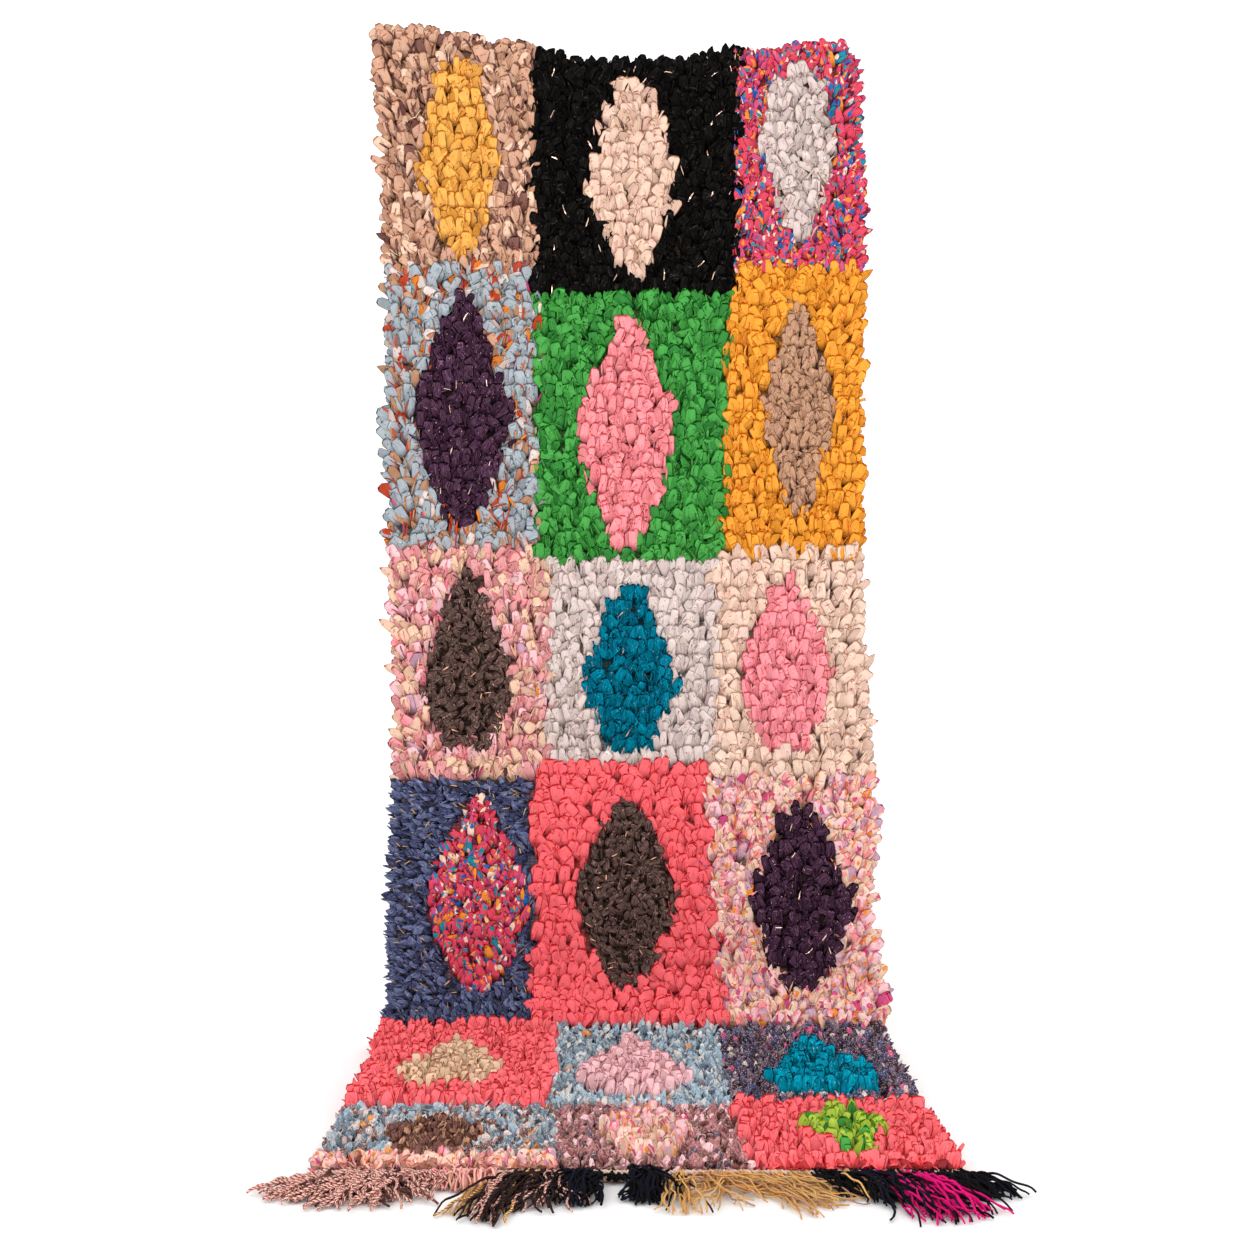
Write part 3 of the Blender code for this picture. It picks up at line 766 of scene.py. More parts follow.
def print_cloth(name, dyes, names=DARK_PRINT):
    """Cotton printed with small patches of the named dyes."""
    material, shader = start_material(name, roughness=0.88, sheen=0.01)
    patches = node(material, "ShaderNodeTexVoronoi", feature="F1", Scale=150)
    link(material, cloth_map(material, (1, 0.8)), patches.inputs["Vector"])
    parts = node(material, "ShaderNodeSeparateColor")
    link(material, patches.outputs["Color"], parts.inputs["Color"])
    ramp = node(material, "ShaderNodeValToRGB")
    ramp.color_ramp.interpolation = "CONSTANT"
    for k, shade in enumerate(names):
        stop = ramp.color_ramp.elements[k] if k < 2 else ramp.color_ramp.elements.new(k / len(names))
        stop.position = k / len(names)
        stop.color = (*getattr(dyes, shade), 1)
    link(material, parts.outputs["Green"], ramp.inputs["Fac"])
    share = ranged(material, parts.outputs["Red"], 0, 1, 0.72, 0.74)
    printed = mixed(material, share, shaded(material), ramp.outputs["Color"])
    coloured(material, shader, printed, toned(material, noise(material, scale=90, detail=3), 0.82, 1.15))
    bumped(material, shader, wave(material, pitch=0.0011), strength=0.3, distance=0.0004)
    return material


def pale_print(name, dyes):
    """Pale cotton with pink, lilac and orange patches."""
    return print_cloth(name, dyes, PALE_PRINT)


def tweed(name, dyes):
    """Cloth of many short ends, with small pale and dark flecks."""
    material, shader = start_material(name, roughness=0.94, sheen=0.04)
    coarse = noise(material, scale=560, detail=3, stretch=(1, 0.4))
    flecks = ranged(material, noise(material, scale=620, detail=1, stretch=(0.5, 1)), 0, 0.75, 0.57, 0.64)
    ground = valued(material, dyed(material), toned(material, coarse, 0.45, 1.6, tail=0.3))
    link(material, mixed(material, flecks, ground, tuple(dyes.pearl)), shader.inputs["Base Color"])
    bumped(material, shader, coarse, strength=0.6, distance=0.0008)
    return material


def two_ply(name, dyes):
    """Yarn of two plies, the second one dark brown."""
    material, shader = start_material(name, roughness=0.92, sheen=0.02)
    ply = wave(material, pitch=0.0038, turn=40)
    second = ranged(material, ply, 0, 1, 0.7, 0.84)
    twisted = mixed(material, second, dyed(material), tuple(dyes.yarn_brown))
    coloured(material, shader, twisted, ranged(material, ply, 1.12, 0.95))
    bumped(material, shader, ply, strength=0.8, distance=0.001)
    return material


def yarn(name, dyes):
    """Plied yarn, its twist as slanting ribs."""
    material, shader = start_material(name, roughness=0.92, sheen=0.02)
    ply = wave(material, pitch=0.0022, turn=40)
    coloured(material, shader, dyed(material), ranged(material, ply, 0.66, 1.18))
    bumped(material, shader, ply, strength=0.8, distance=0.0008)
    return material


RAG_WEAVES = (jersey, worn, satin, twill, heather, flecked, streaked, print_cloth, pale_print, tweed)
WEAVES = {weave.__name__: weave for weave in (*RAG_WEAVES, yarn, two_ply)}


def fabric(name, weave, dyes):
    """The material of that name, made once."""
    return bpy.data.materials.get(name) or WEAVES[weave](name, dyes)


# ---- the pile ----

FIRST_ROW = 0.012  # top edge to the first row of knots
LAST_ROW = 0.007  # last row of knots to the end of the ground
EDGE_INSET = 0.009  # side of the pile to the first knot
KNOT_JITTER = 0.0016
STAGGER = 0.4  # share of the pitch by which one row's knots stand beside those of the next
LAID_FROM_BEND = 1.5  # bend radii over which the petals turn from how they lie on the wall to the floor
RISE_ON_WALL = 0.013  # a knot shows this far above its row, because its petals point up the cloth
RISE_ON_FLOOR = 0.010
NARROWEST = 0.007  # half the width of a lozenge at its ends
LOZENGE_PROUD = 0.0036  # the lozenges were knotted after their grounds
FIRST_ROW_CUT = 0.8  # length of the first and last rows' petals, which stand at the ends
FLOOR_CUT = 0.12  # share that the petals on the floor are shorter by


def find_blocks(x, down):
    """The number of the block that each knot belongs to."""
    last = len(BLOCK_ROWS) - 1
    ends = np.stack([column(BLOCK_ROWS, name + "_end") for name in COLUMN_NAMES])
    starts = np.concatenate([[0], ends[1][:-1]])
    rows = np.searchsorted(ends[1], down)
    for _ in range(2):
        inside = np.minimum(rows, last)
        columns = (x > column(BLOCK_ROWS, "left_seam")[inside]).astype(int)
        share = (down - starts[inside]) / (ends[1] - starts)[inside]
        columns += x > column(BLOCK_ROWS, "right_seam")[inside] + share * column(BLOCK_ROWS, "slant")[inside]
        rows = (down[None] > ends[columns].T).sum(0)
    return np.where(rows > last, HEM_BLOCK, np.minimum(rows, last) * len(COLUMN_NAMES) + columns)


def in_lozenge(x, down, blocks):
    """Whether each knot lies in its block's lozenge."""
    keys = ("x", "top", "bottom", "half", "widest", "upper", "lower", "foot")
    spec = {key: column(BLOCKS, key)[blocks] for key in keys}
    share = (down - spec["top"]) / (spec["bottom"] - spec["top"])
    inside = np.clip(share, 0, 1)
    above = (inside / spec["widest"]).clip(0, 1) ** spec["upper"]
    below = np.maximum(((1 - inside) / (1 - spec["widest"])).clip(0, 1) ** spec["lower"], spec["foot"])
    wide = np.where(share < spec["widest"], above, below)
    return (share > 0) & (share < 1) & (np.abs(x - spec["x"]) < np.maximum(wide * spec["half"], NARROWEST))


def laid_share(shape, down):
    """0 on the wall and 1 on the floor."""
    start = shape.hang_height - shape.bend_radius
    return smooth((down - start) / (LAID_FROM_BEND * shape.bend_radius))


def lay_knots(shape, style, rng):
    """Arrays with each knot's place, its block, and the side or end of the rug that it is at."""
    length = cloth_length(shape)
    rows = round((length - FIRST_ROW - LAST_ROW) / shape.row_pitch) * style["lines"] + 1
    found = []
    for row, down in enumerate(np.linspace(FIRST_ROW, length - LAST_ROW, rows)):
        left, right = side_edges(down)
        count = round((right - left - 2 * EDGE_INSET) / style["pitch"]) + 1
        x = np.linspace(left + EDGE_INSET, right - EDGE_INSET, count)
        inner = np.ones(count)
        inner[0] = inner[-1] = 0
        step = (row % 2 - 0.5) * STAGGER * style["pitch"]
        x = x + inner * (step + rng.uniform(-KNOT_JITTER, KNOT_JITTER, count))
        side = np.zeros(count)
        side[0], side[-1] = -1, 1
        end = np.full(count, -1 if row == 0 else 1 if row == rows - 1 else 0)
        jitter = rng.uniform(-KNOT_JITTER, KNOT_JITTER, count) * (0 < row < rows - 1)
        found.append({"x": x, "down": down + jitter, "side": side, "end": end})
    knots = {key: np.concatenate([f[key] for f in found]) for key in found[0]}
    laid = laid_share(shape, knots["down"])
    shown = knots["down"] - RISE_ON_WALL * (1 - laid) - RISE_ON_FLOOR * laid
    knots["block"], knots["lozenge"] = find_patch(knots["x"], np.maximum(shown, 0))
    return knots


def find_patch(x, down):
    """The block at each place, and whether its lozenge is there."""
    blocks = find_blocks(x, down)
    return blocks, in_lozenge(x, down, blocks)


def pick(shares, count, rng):
    """Numbers of the picked entries, by their shares."""
    weights = np.array(list(shares.values()), float)
    return rng.choice(len(weights), count, p=weights / weights.sum())


CRUMPLE = 0.0005  # unevenness of a petal's surface
THIN_SHARE = 0.4  # of its thickness that a petal keeps where it has no width
LEAST_RISE = 0.0022  # petals stay this high over the cloth's back
FLOOR_GAP = 0.0006


def bend(shape, template, outline, petal):
    """Points of every petal: the template bent along a hook, cupped, twisted, turned and set on the cloth."""
    wide = np.array(outline)[template.ring]
    along, start = template.along[None], petal["start"][:, None]
    span = (petal["end"] - petal["start"])[:, None]
    lean = start + span * along
    length, half, cup = petal["length"][:, None], petal["half"][:, None], petal["cup"][:, None]
    reach = length * (np.cos(start) - np.cos(lean)) / span
    rise = length * (np.sin(lean) - np.sin(start)) / span
    aside = half * wide * np.sin(cup * template.across) / cup
    proud = petal["thick"][:, None] / 2 * template.thick * np.minimum(1, THIN_SHARE + wide)
    proud = proud - half * wide * (1 - np.cos(cup * template.across)) / cup + petal["crumple"]
    twist = petal["edge"][:, None] + petal["twist"][:, None] * along
    across = aside * np.cos(twist) - proud * np.sin(twist) + petal["bow"][:, None] * along**2
    normal = aside * np.sin(twist) + proud * np.cos(twist)
    reach = reach - normal * np.cos(lean)
    rise = petal["root"][:, None] + rise + normal * np.sin(lean)
    turn = petal["turn"][:, None]
    step_x = across * np.cos(turn) + reach * np.sin(turn)
    step_down = reach * np.cos(turn) - across * np.sin(turn)
    point, down, out = surface(shape, petal["x"], petal["down"])
    rise = np.maximum(rise, LEAST_RISE)
    points = point[:, None] + step_down[..., None] * down[:, None] + rise[..., None] * out[:, None]
    points[..., 0] += step_x
    points[..., 2] = np.maximum(points[..., 2], -shape.hang_height + FLOOR_GAP)
    return points


# The layers of petals that leave the knots. aside is how far beside its knot a petal starts, as a share of
# the pitch, and back how far down the cloth. root is how high over the cloth's back it starts. On the wall
# a petal leans from start at its root to end at its tip, where 0 points out of the cloth and 90 along it,
# and on the floor from floor_start to floor_end.
LAYERS = keyed_table(
    "name aside back root start end floor_start floor_end",
    ("top", 0.0, 0.0, 0.01, 70, 91, 14, 56),
    ("mate", 0.5, 0.002, 0.0074, 68, 90, 18, 62),
    ("fold", 0.5, 0.0, 0.0085, 56, 92, 0, 44),
    ("wisp", 0.3, 0.0, 0.011, 40, 90, 0, 60),
    ("rim", 0.0, 0.0, 0.007, 60, 96, 50, 92),
    ("low_rim", 0.0, 0.008, 0.004, 60, 96, 50, 96),
)
# Angles are in degrees, and spreads are one standard deviation, cut off at WIDEST_SPREAD of them.
WIDEST_SPREAD = 2
LEAN_SPREAD = 3
FLOOR_LEAN_SPREAD, FLOOR_TIP_SPREAD = 11, 13  # added to it on the floor, at a petal's root and at its tip
LEAST_BEND = 8  # of a petal from its root to its tip
FOLD_TURN = 0.6  # folds turn aside by this share of what petals do
FLOOR_TURN = 0.6  # share that petals turn aside further by on the floor
OUTWARD_TURN = 85  # of the petals at the very sides
TOP_END_SPREAD, FLOOR_END_SPREAD = 24, 45
SIDE_TURN, SIDE_SPREAD = 72, 22  # of the rim's petals along the sides
TOP_END_LIFT = 25  # the rim's petals along the top edge stand out more
FLOOR_END_LIFT = 45  # the most that they do so along the floor end
STRAY_SPREAD = 7  # of petals that would point over the edge of their colour
STRAY_PROBE = 0.6  # share of a petal's length at which that is tested
STRAY_ASIDE = 0.3  # share of their usual place beside the knot
LENGTH_SPREAD, WIDTH_SPREAD, THICKNESS_SPREAD = 0.08, 0.14, 0.12
RIM_LENGTHS = (0.75, 1.15)
CUPPING = (0.5, 1.5)
EDGE_SPREAD = 6
BOW, LOOSE_BOW = 0.0028, 0.006  # how far a petal's tip bends aside, and that of a fold or wisp
ASIDE_JITTER, ROOT_JITTER = 0.0012, 0.0009
FINE_LINE = 0.8  # length of petals where each row of knots makes two lines of them
FINE_CUTS = ("slip", "nub", "strand", "wisp")
OWN_WIDTH = ("flap", "tongue", *FINE_CUTS)  # cuts that keep their width in every style
RIM_LENGTH = 0.024
FACE_PITCH = 0.018  # the pitch that the broad cuts are sized for
EDGE_REACH = 0.04  # the pile turns outwards this near to the rug's sides


def petals_of(shape, knots, chosen, style, layer, cut, rng):
    """The arrays that bend() takes, for one layer of petals of one cut on the chosen knots."""
    count = len(chosen)
    spec, lay = CUTS[cut], LAYERS[layer]
    x, down = knots["x"][chosen], knots["down"][chosen]
    side, end = knots["side"][chosen], knots["end"][chosen]
    laid = laid_share(shape, down)
    lean = style["lean"]

    def spread(mean, wide):
        return mean + rng.normal(0, 1, count).clip(-WIDEST_SPREAD, WIDEST_SPREAD) * wide

    def leaning(key, floor_spread):
        mean = lay[key] * (1 - laid) + lay["floor_" + key] * lean * laid
        return spread(mean, LEAN_SPREAD + floor_spread * laid)

    rim = layer in ("rim", "low_rim")
    start, tip = leaning("start", FLOOR_LEAN_SPREAD), leaning("end", FLOOR_TIP_SPREAD)
    wide = style["turn"] * (FOLD_TURN if layer == "fold" else 1) * (1 + FLOOR_TURN * laid)
    turn = spread(style["aim"] * (1 - laid), wide)
    left, right = side_edges(down)
    outward = np.maximum(0, 1 - (right - x) / EDGE_REACH) - np.maximum(0, 1 - (x - left) / EDGE_REACH)
    turn = turn + style["flare"] * np.abs(outward) * (np.sign(outward) * OUTWARD_TURN - turn)
    if rim:
        # The rim's petals point out of the rug, and at its end they are crumpled.
        at_end = spread(np.where(end < 0, 0, 180), np.where(end < 0, TOP_END_SPREAD, FLOOR_END_SPREAD))
        turn = np.where(end != 0, at_end, side * spread(SIDE_TURN, SIDE_SPREAD))
        start = start - TOP_END_LIFT * (end < 0) - rng.uniform(0, FLOOR_END_LIFT, count) * (end > 0)
    length = spec["length"] * spread(1, LENGTH_SPREAD) * (FINE_LINE if style["lines"] > 1 else 1)
    length = length * np.where(end != 0, FIRST_ROW_CUT, 1) * (1 - FLOOR_CUT * laid)
    length = np.minimum(length, RIM_LENGTH * rng.uniform(*RIM_LENGTHS, count)) if rim else length
    share = 1 if cut in OWN_WIDTH else style["pitch"] / FACE_PITCH
    half = spec["half"] * share * spread(1, WIDTH_SPREAD)
    turned, reach = np.radians(turn), length * STRAY_PROBE
    patch = find_patch(x + np.sin(turned) * reach, np.maximum(down - np.cos(turned) * reach, 0))
    stray = (patch[0] != knots["block"][chosen]) | (patch[1] != knots["lozenge"][chosen])
    stray = stray & (not rim)
    turn = np.where(stray, spread(0, STRAY_SPREAD), turn)
    near = np.where(stray | (side != 0), STRAY_ASIDE, 1)
    aside = rng.choice((-1, 1), count) * lay["aside"] * style["pitch"] * near
    edge = spec["edge"] * rng.choice((-1, 1), count) + spread(0, EDGE_SPREAD)
    root = lay["root"] + LOZENGE_PROUD * knots["lozenge"][chosen]
    return {
        "x": x + aside + rng.uniform(-ASIDE_JITTER, ASIDE_JITTER, count),
        "down": np.clip(down + lay["back"] * (end == 0), 0, None),
        "root": root + rng.uniform(-ROOT_JITTER, ROOT_JITTER, count),
        "length": length,
        "half": half,
        "thick": spec["thick"] * spread(1, THICKNESS_SPREAD),
        "start": np.radians(start),
        "end": np.radians(np.maximum(tip, start + LEAST_BEND)),
        "cup": spec["cup"] * rng.uniform(*CUPPING, count),
        "edge": np.radians(edge),
        "twist": np.radians(spread(0, spec["twist"])),
        "turn": np.radians(180 - turn),
        "bow": rng.normal(0, LOOSE_BOW if layer in ("fold", "wisp") else BOW, count),
    }


OWN_DYES = {"mate": "under", "fold": "edges", "wisp": "threads"}  # the fabrics' keys for some layers' dyes
STRIP_LENGTH = 0.055  # along a row between the knots of one strip
STRIP_STEP = 0.37  # strips start this share of their length further on in the next line of petals
LINE_HEIGHT = 0.0116  # half the distance between rows of knots
ROW_KEY = 1000  # more than a row has strips, so that each strip gets a number of its own
BRIGHTNESS_SPREAD, HUE_SPREAD = 0.03, 0.012
ROOT_SHADE = 0.6  # painted shade: brightness of a petal at its root, where the pile shades it
ROOT_END, ROOT_FADE = 0.05, 0.35  # shares of its length where its painted shade starts to lift, and over which it does
ROOT_SHADE_DEEPER = 0.5  # painted shade: added at the darkest to the power that the colour is raised to
MATE_SHADE = 0.8  # painted shade: brightness of the petals that lie under others


def petal_dyes(dyes, spec, template, knots, chosen, layer, rng):
    """The dye at every point of every petal: a little uneven, with painted shade, darker and deeper, towards
    the root.
    """
    count = len(chosen)
    shares = spec.get(OWN_DYES.get(layer), spec["dyes"])
    palette = np.array([getattr(dyes, name)[:] for name in shares])
    row = np.round(knots["down"][chosen] / LINE_HEIGHT)
    number = np.floor(knots["x"][chosen] / STRIP_LENGTH + STRIP_STEP * row) + ROW_KEY * row
    strips = np.unique(number, return_inverse=True)[1]
    of_strip = pick(shares, strips.max() + 1, np.random.default_rng(int(row.sum())))[strips]
    alone = rng.uniform(0, 1, count) > spec.get("strips", 0)
    colours = palette[np.where(alone, pick(shares, count, rng), of_strip)]
    colours = colours * rng.normal(1, BRIGHTNESS_SPREAD, (count, 1)) * rng.normal(1, HUE_SPREAD, (count, 3))
    root = spec.get("root", ROOT_SHADE)
    shade = root + (1 - root) * smooth((template.along - ROOT_END) / ROOT_FADE)
    # Painted shade on the petals that lie under others.
    if layer in ("mate", "low_rim") and "root" not in spec:
        shade = shade * MATE_SHADE
    colours = np.clip(colours, 0, 1)[:, None]
    shade = shade[None, :, None]
    return colours ** (1 + ROOT_SHADE_DEEPER - ROOT_SHADE_DEEPER * shade) * shade


def templates():
    """A template for each cut on top, and one with fewer faces for the layers under it."""
    made = {}
    for cut, spec in CUTS.items():
        along = TIPS[spec["tip"]]["along"]
        sides = UNDER_SIDES if cut in ("fold", *FINE_CUTS) else PETAL_SIDES
        made[cut, True] = Template(sides, along, True)
        made[cut, False] = Template(UNDER_SIDES, along, True)
    return made


def layers_of(style, knots, own, rng):
    """Which cut each of the chosen knots gets in each layer."""
    edge = own[(knots["side"][own] != 0) | (knots["end"][own] != 0)]

    def several(share):
        return np.repeat(own, (rng.uniform(0, 1, len(own)) + share).astype(int))

    for layer, chosen in (("top", own), ("mate", several(style["mates"])), ("rim", edge), ("low_rim", edge)):
        cuts = pick(style["cuts"], len(chosen), rng)
        for k, cut in enumerate(style["cuts"]):
            yield layer, cut, chosen[cuts == k]
    for layer in ("fold", "wisp"):
        yield layer, layer, several(style[layer + "s"])


class RUG_OT_pile(Operator):
    """Knots the rag pile, a piece for each coloured block"""

    bl_idname = "rug.pile"
    bl_label = "Rag Pile"

    def execute(self, context):
        shape, dyes = context.scene.rug_shape, context.scene.rag_dyes
        rng = np.random.default_rng(shape.seed)
        shapes = templates()
        laid = {name: lay_knots(shape, style, rng) for name, style in STYLES.items()}
        for number, block in enumerate(BLOCKS):
            pile = Joined()
            fabrics = (block["ground"], block["lozenge"])
            for slot, kind in enumerate(fabrics):
                spec = FABRICS[kind]
                style, knots = STYLES[spec["style"]], laid[spec["style"]]
                own = np.nonzero((knots["block"] == number) & (knots["lozenge"] == bool(slot)))[0]
                for layer, cut, chosen in layers_of(style, knots, own, rng):
                    if not len(chosen):
                        continue
                    template, wide = shapes[cut, layer == "top"], TIPS[CUTS[cut]["tip"]]["wide"]
                    petal = petals_of(shape, knots, chosen, style, layer, cut, rng)
                    petal["crumple"] = rng.normal(0, CRUMPLE, (len(chosen), len(template.ring)))
                    points = bend(shape, template, wide, petal)
                    spans = np.stack([petal["half"], petal["length"]], -1)
                    colours = petal_dyes(dyes, spec, template, knots, chosen, layer, rng)
                    pile.add(template, points, colours, spans, slot)
            materials = [fabric(kind + "_rag", FABRICS[kind]["weave"], dyes) for kind in fabrics]
            if not pile.parts:
                raise RuntimeError(f"no knot lies in {block['name']}")
            keep(pile.build(block["name"], materials, rng), "rag_pile", "rug")
        return {"FINISHED"}


# ---- the ground ----

GROUND_COLUMNS = 44
GROUND_ROWS = 130
SELVEDGE = 0.005  # the ground reaches this far past the side of the pile
SELVEDGE_FADE = 0.016  # width over which the rag's tint and the painted shade under the pile start
BACK_CLEARANCE = 0.0012  # wall plane to the ground's back, so that the knots' backs have room
RIPPLE, RIPPLE_WAVES = 0.0008, (41, 3, 23)
GROUND_TINT = 0.85  # share of each block's rag in the colour of the ground behind it
GROUND_SHADE = 0.6  # painted shade of the ground under the pile


def woven_ground(name, dyes):
    """Weft-faced cotton, its ribs full of the backs of the knots."""
    material, shader = start_material(name, roughness=0.92, sheen=0.02)
    knots = sums(material, "MULTIPLY", wave(material, pitch=0.0058, turn=90), wave(material, pitch=0.008))
    uneven = toned(material, noise(material, scale=60, detail=3, stretch=(0.3, 1)), 0.8, 1.15)
    ground = valued(material, dyed(material), ranged(material, knots, 0.6, 1.2))
    coloured(material, shader, ground, uneven)
    bumped(material, shader, knots, strength=0.9, distance=0.0012)
    return material


def ground_dyes(shape, dyes, x, down):
    """Peach cotton, tinted by the rag of each block and darkened under the pile by painted shade."""
    blocks, lozenge = find_patch(x, down)
    rags = []
    for block in BLOCKS:
        for kind in (block["ground"], block["lozenge"]):
            rags.append(getattr(dyes, next(iter(FABRICS[kind]["dyes"])))[:])
    rag = np.array(rags)[blocks * 2 + lozenge]
    left, right = side_edges(down)
    inward = smooth((np.minimum(x - left, right - x) + SELVEDGE) / SELVEDGE_FADE)[:, None]
    tint = GROUND_TINT * inward
    return (rag * tint + np.array(dyes.selvedge[:]) * (1 - tint)) * (1 - (1 - GROUND_SHADE) * inward)


class RUG_OT_ground(Operator):
    """Weaves the ground that carries the knots, in its hung and laid form"""

    bl_idname = "rug.ground"
    bl_label = "Woven Ground"

    def execute(self, context):
        shape, dyes = context.scene.rug_shape, context.scene.rag_dyes
        bm = bmesh.new()
        bm.loops.layers.uv.new("cloth")
        bmesh.ops.create_grid(bm, x_segments=GROUND_COLUMNS, y_segments=GROUND_ROWS, size=0.5, calc_uvs=True)
        mesh = bpy.data.meshes.new("ground_cloth")
        bm.to_mesh(mesh)
        bm.free()
        flat = np.zeros(len(mesh.vertices) * 3)
        mesh.vertices.foreach_get("co", flat)
        flat = flat.reshape(-1, 3)
        down = (0.5 - flat[:, 1]) * cloth_length(shape)
        left, right = side_edges(down)
        x = left - SELVEDGE + (flat[:, 0] + 0.5) * (right - left + 2 * SELVEDGE)
        point, _, out = surface(shape, x, down)
        across, slanting, lengthwise = RIPPLE_WAVES
        ripple = RIPPLE * (np.sin(across * x + slanting * down) * np.sin(lengthwise * down) + 1) / 2
        point = point + out * (BACK_CLEARANCE + ripple)[:, None]
        mesh.vertices.foreach_set("co", point.astype(np.float32).ravel())
        corners = np.zeros(len(mesh.loops), np.int32)
        mesh.loops.foreach_get("vertex_index", corners)
        cloth = np.stack([x, down], -1)[corners]
        mesh.uv_layers["cloth"].data.foreach_set("uv", cloth.astype(np.float32).ravel())
        tints = np.concatenate([ground_dyes(shape, dyes, x, down), np.ones((len(x), 1))], -1)
        dye_layer = mesh.attributes.new("dye", "FLOAT_COLOR", "POINT").data
        dye_layer.foreach_set("color", tints.astype(np.float32).ravel())
        mesh.shade_smooth()
        obj = bpy.data.objects.new("ground_cloth", mesh)
        context.scene.collection.objects.link(obj)
        mesh.materials.append(woven_ground("woven_ground", dyes))
        thicken = obj.modifiers.new("thickness", "SOLIDIFY")
        thicken.thickness = shape.ground_thickness
        thicken.offset = 1.0
        keep(obj, "rag_pile", "rug")
        return {"FINISHED"}


# ---- yarn and cord ----

TUBE_SIDES = 4
YARN_STEPS = 22
ROOT_HEIGHT = 0.013  # the yarns leave the heading within this height
LOWEST_ROOT = 0.001
CRIMP = (0.036, 0.070)  # least and greatest length of a yarn's waves
CRIMP_SHARES = (0.4, 1.7)  # least and greatest share of the bunch's crimp that one yarn has
YARN_DRIFT = 0.17  # radians that a yarn bends aside by at its tip, as one standard deviation
FALL = 0.024  # length over which a yarn comes down from the heading
RISE, RISE_RATE = 0.0016, 1.3  # height and number of a yarn's small rises on the floor, for each of its waves
HEAP_POWER = 0.7  # below 1, a heap is broad
YARN_LENGTHS = (0.72, 1.0)
YARN_WIDTHS = (0.85, 1.15)
YARN_TIP = 0.75  # share of its width that a yarn has at its tip
YARN_MAP_WIDTH = 0.004
YARN_UNEVEN = 0.08  # how uneven the brightness of a bunch's yarns is
FAN_BY_PLACE, FAN_BY_CHANCE = 0.5, 0.2  # shares of a bunch's spread
TASSEL_INSET, ENDS_INSET = 0.004, 0.006  # how far inside the heading the yarns start
CORD_STEPS = 190
CORD_INSET = 0.004  # of the cords' ends from the sides of the pile
CORD_RADIUS = 0.0024  # of each of its two plies
CORD_FLATNESS = 0.8
CORD_TWIST = 0.015
CORD_SWELL, SWELL_WAVES = 0.12, (170, 40)
CORD_SWAY, SWAY_WAVES = 0.0008, (31, 900)
HEADING_CORDS = table("out up", (0.004, 0.0046), (0.011, 0.0044), (0.007, 0.0112))
SPECKLED_FROM = 0.27  # x where the heading's cords turn to cream and black
SPECKLES = 0.35  # share of black there


def tubes(template, paths, radii):
    """Points of round tubes along paths: paths are copies by steps by 3, radii copies by steps."""
    ahead = np.gradient(paths, axis=1)
    ahead = ahead / np.linalg.norm(ahead, axis=-1, keepdims=True)
    side = np.cross(ahead, (0.0, 0.0, 1.0))
    side = side / np.maximum(np.linalg.norm(side, axis=-1, keepdims=True), 1e-6)
    up = np.cross(side, ahead)
    ring = template.ring
    wide = radii[:, ring, None]
    across, thick = template.across[None, :, None], template.thick[None, :, None]
    return paths[:, ring] + side[:, ring] * wide * across + up[:, ring] * wide * thick


def plain_dyes(dyes, names, count, corners, rng):
    """One uneven dye for each yarn, the same all along it."""
    palette = np.array([getattr(dyes, name)[:] for name in names])
    colours = palette[pick(names, count, rng)] * rng.normal(1, YARN_UNEVEN, (count, 1))
    return np.clip(np.repeat(colours[:, None], corners, 1), 0, 1)


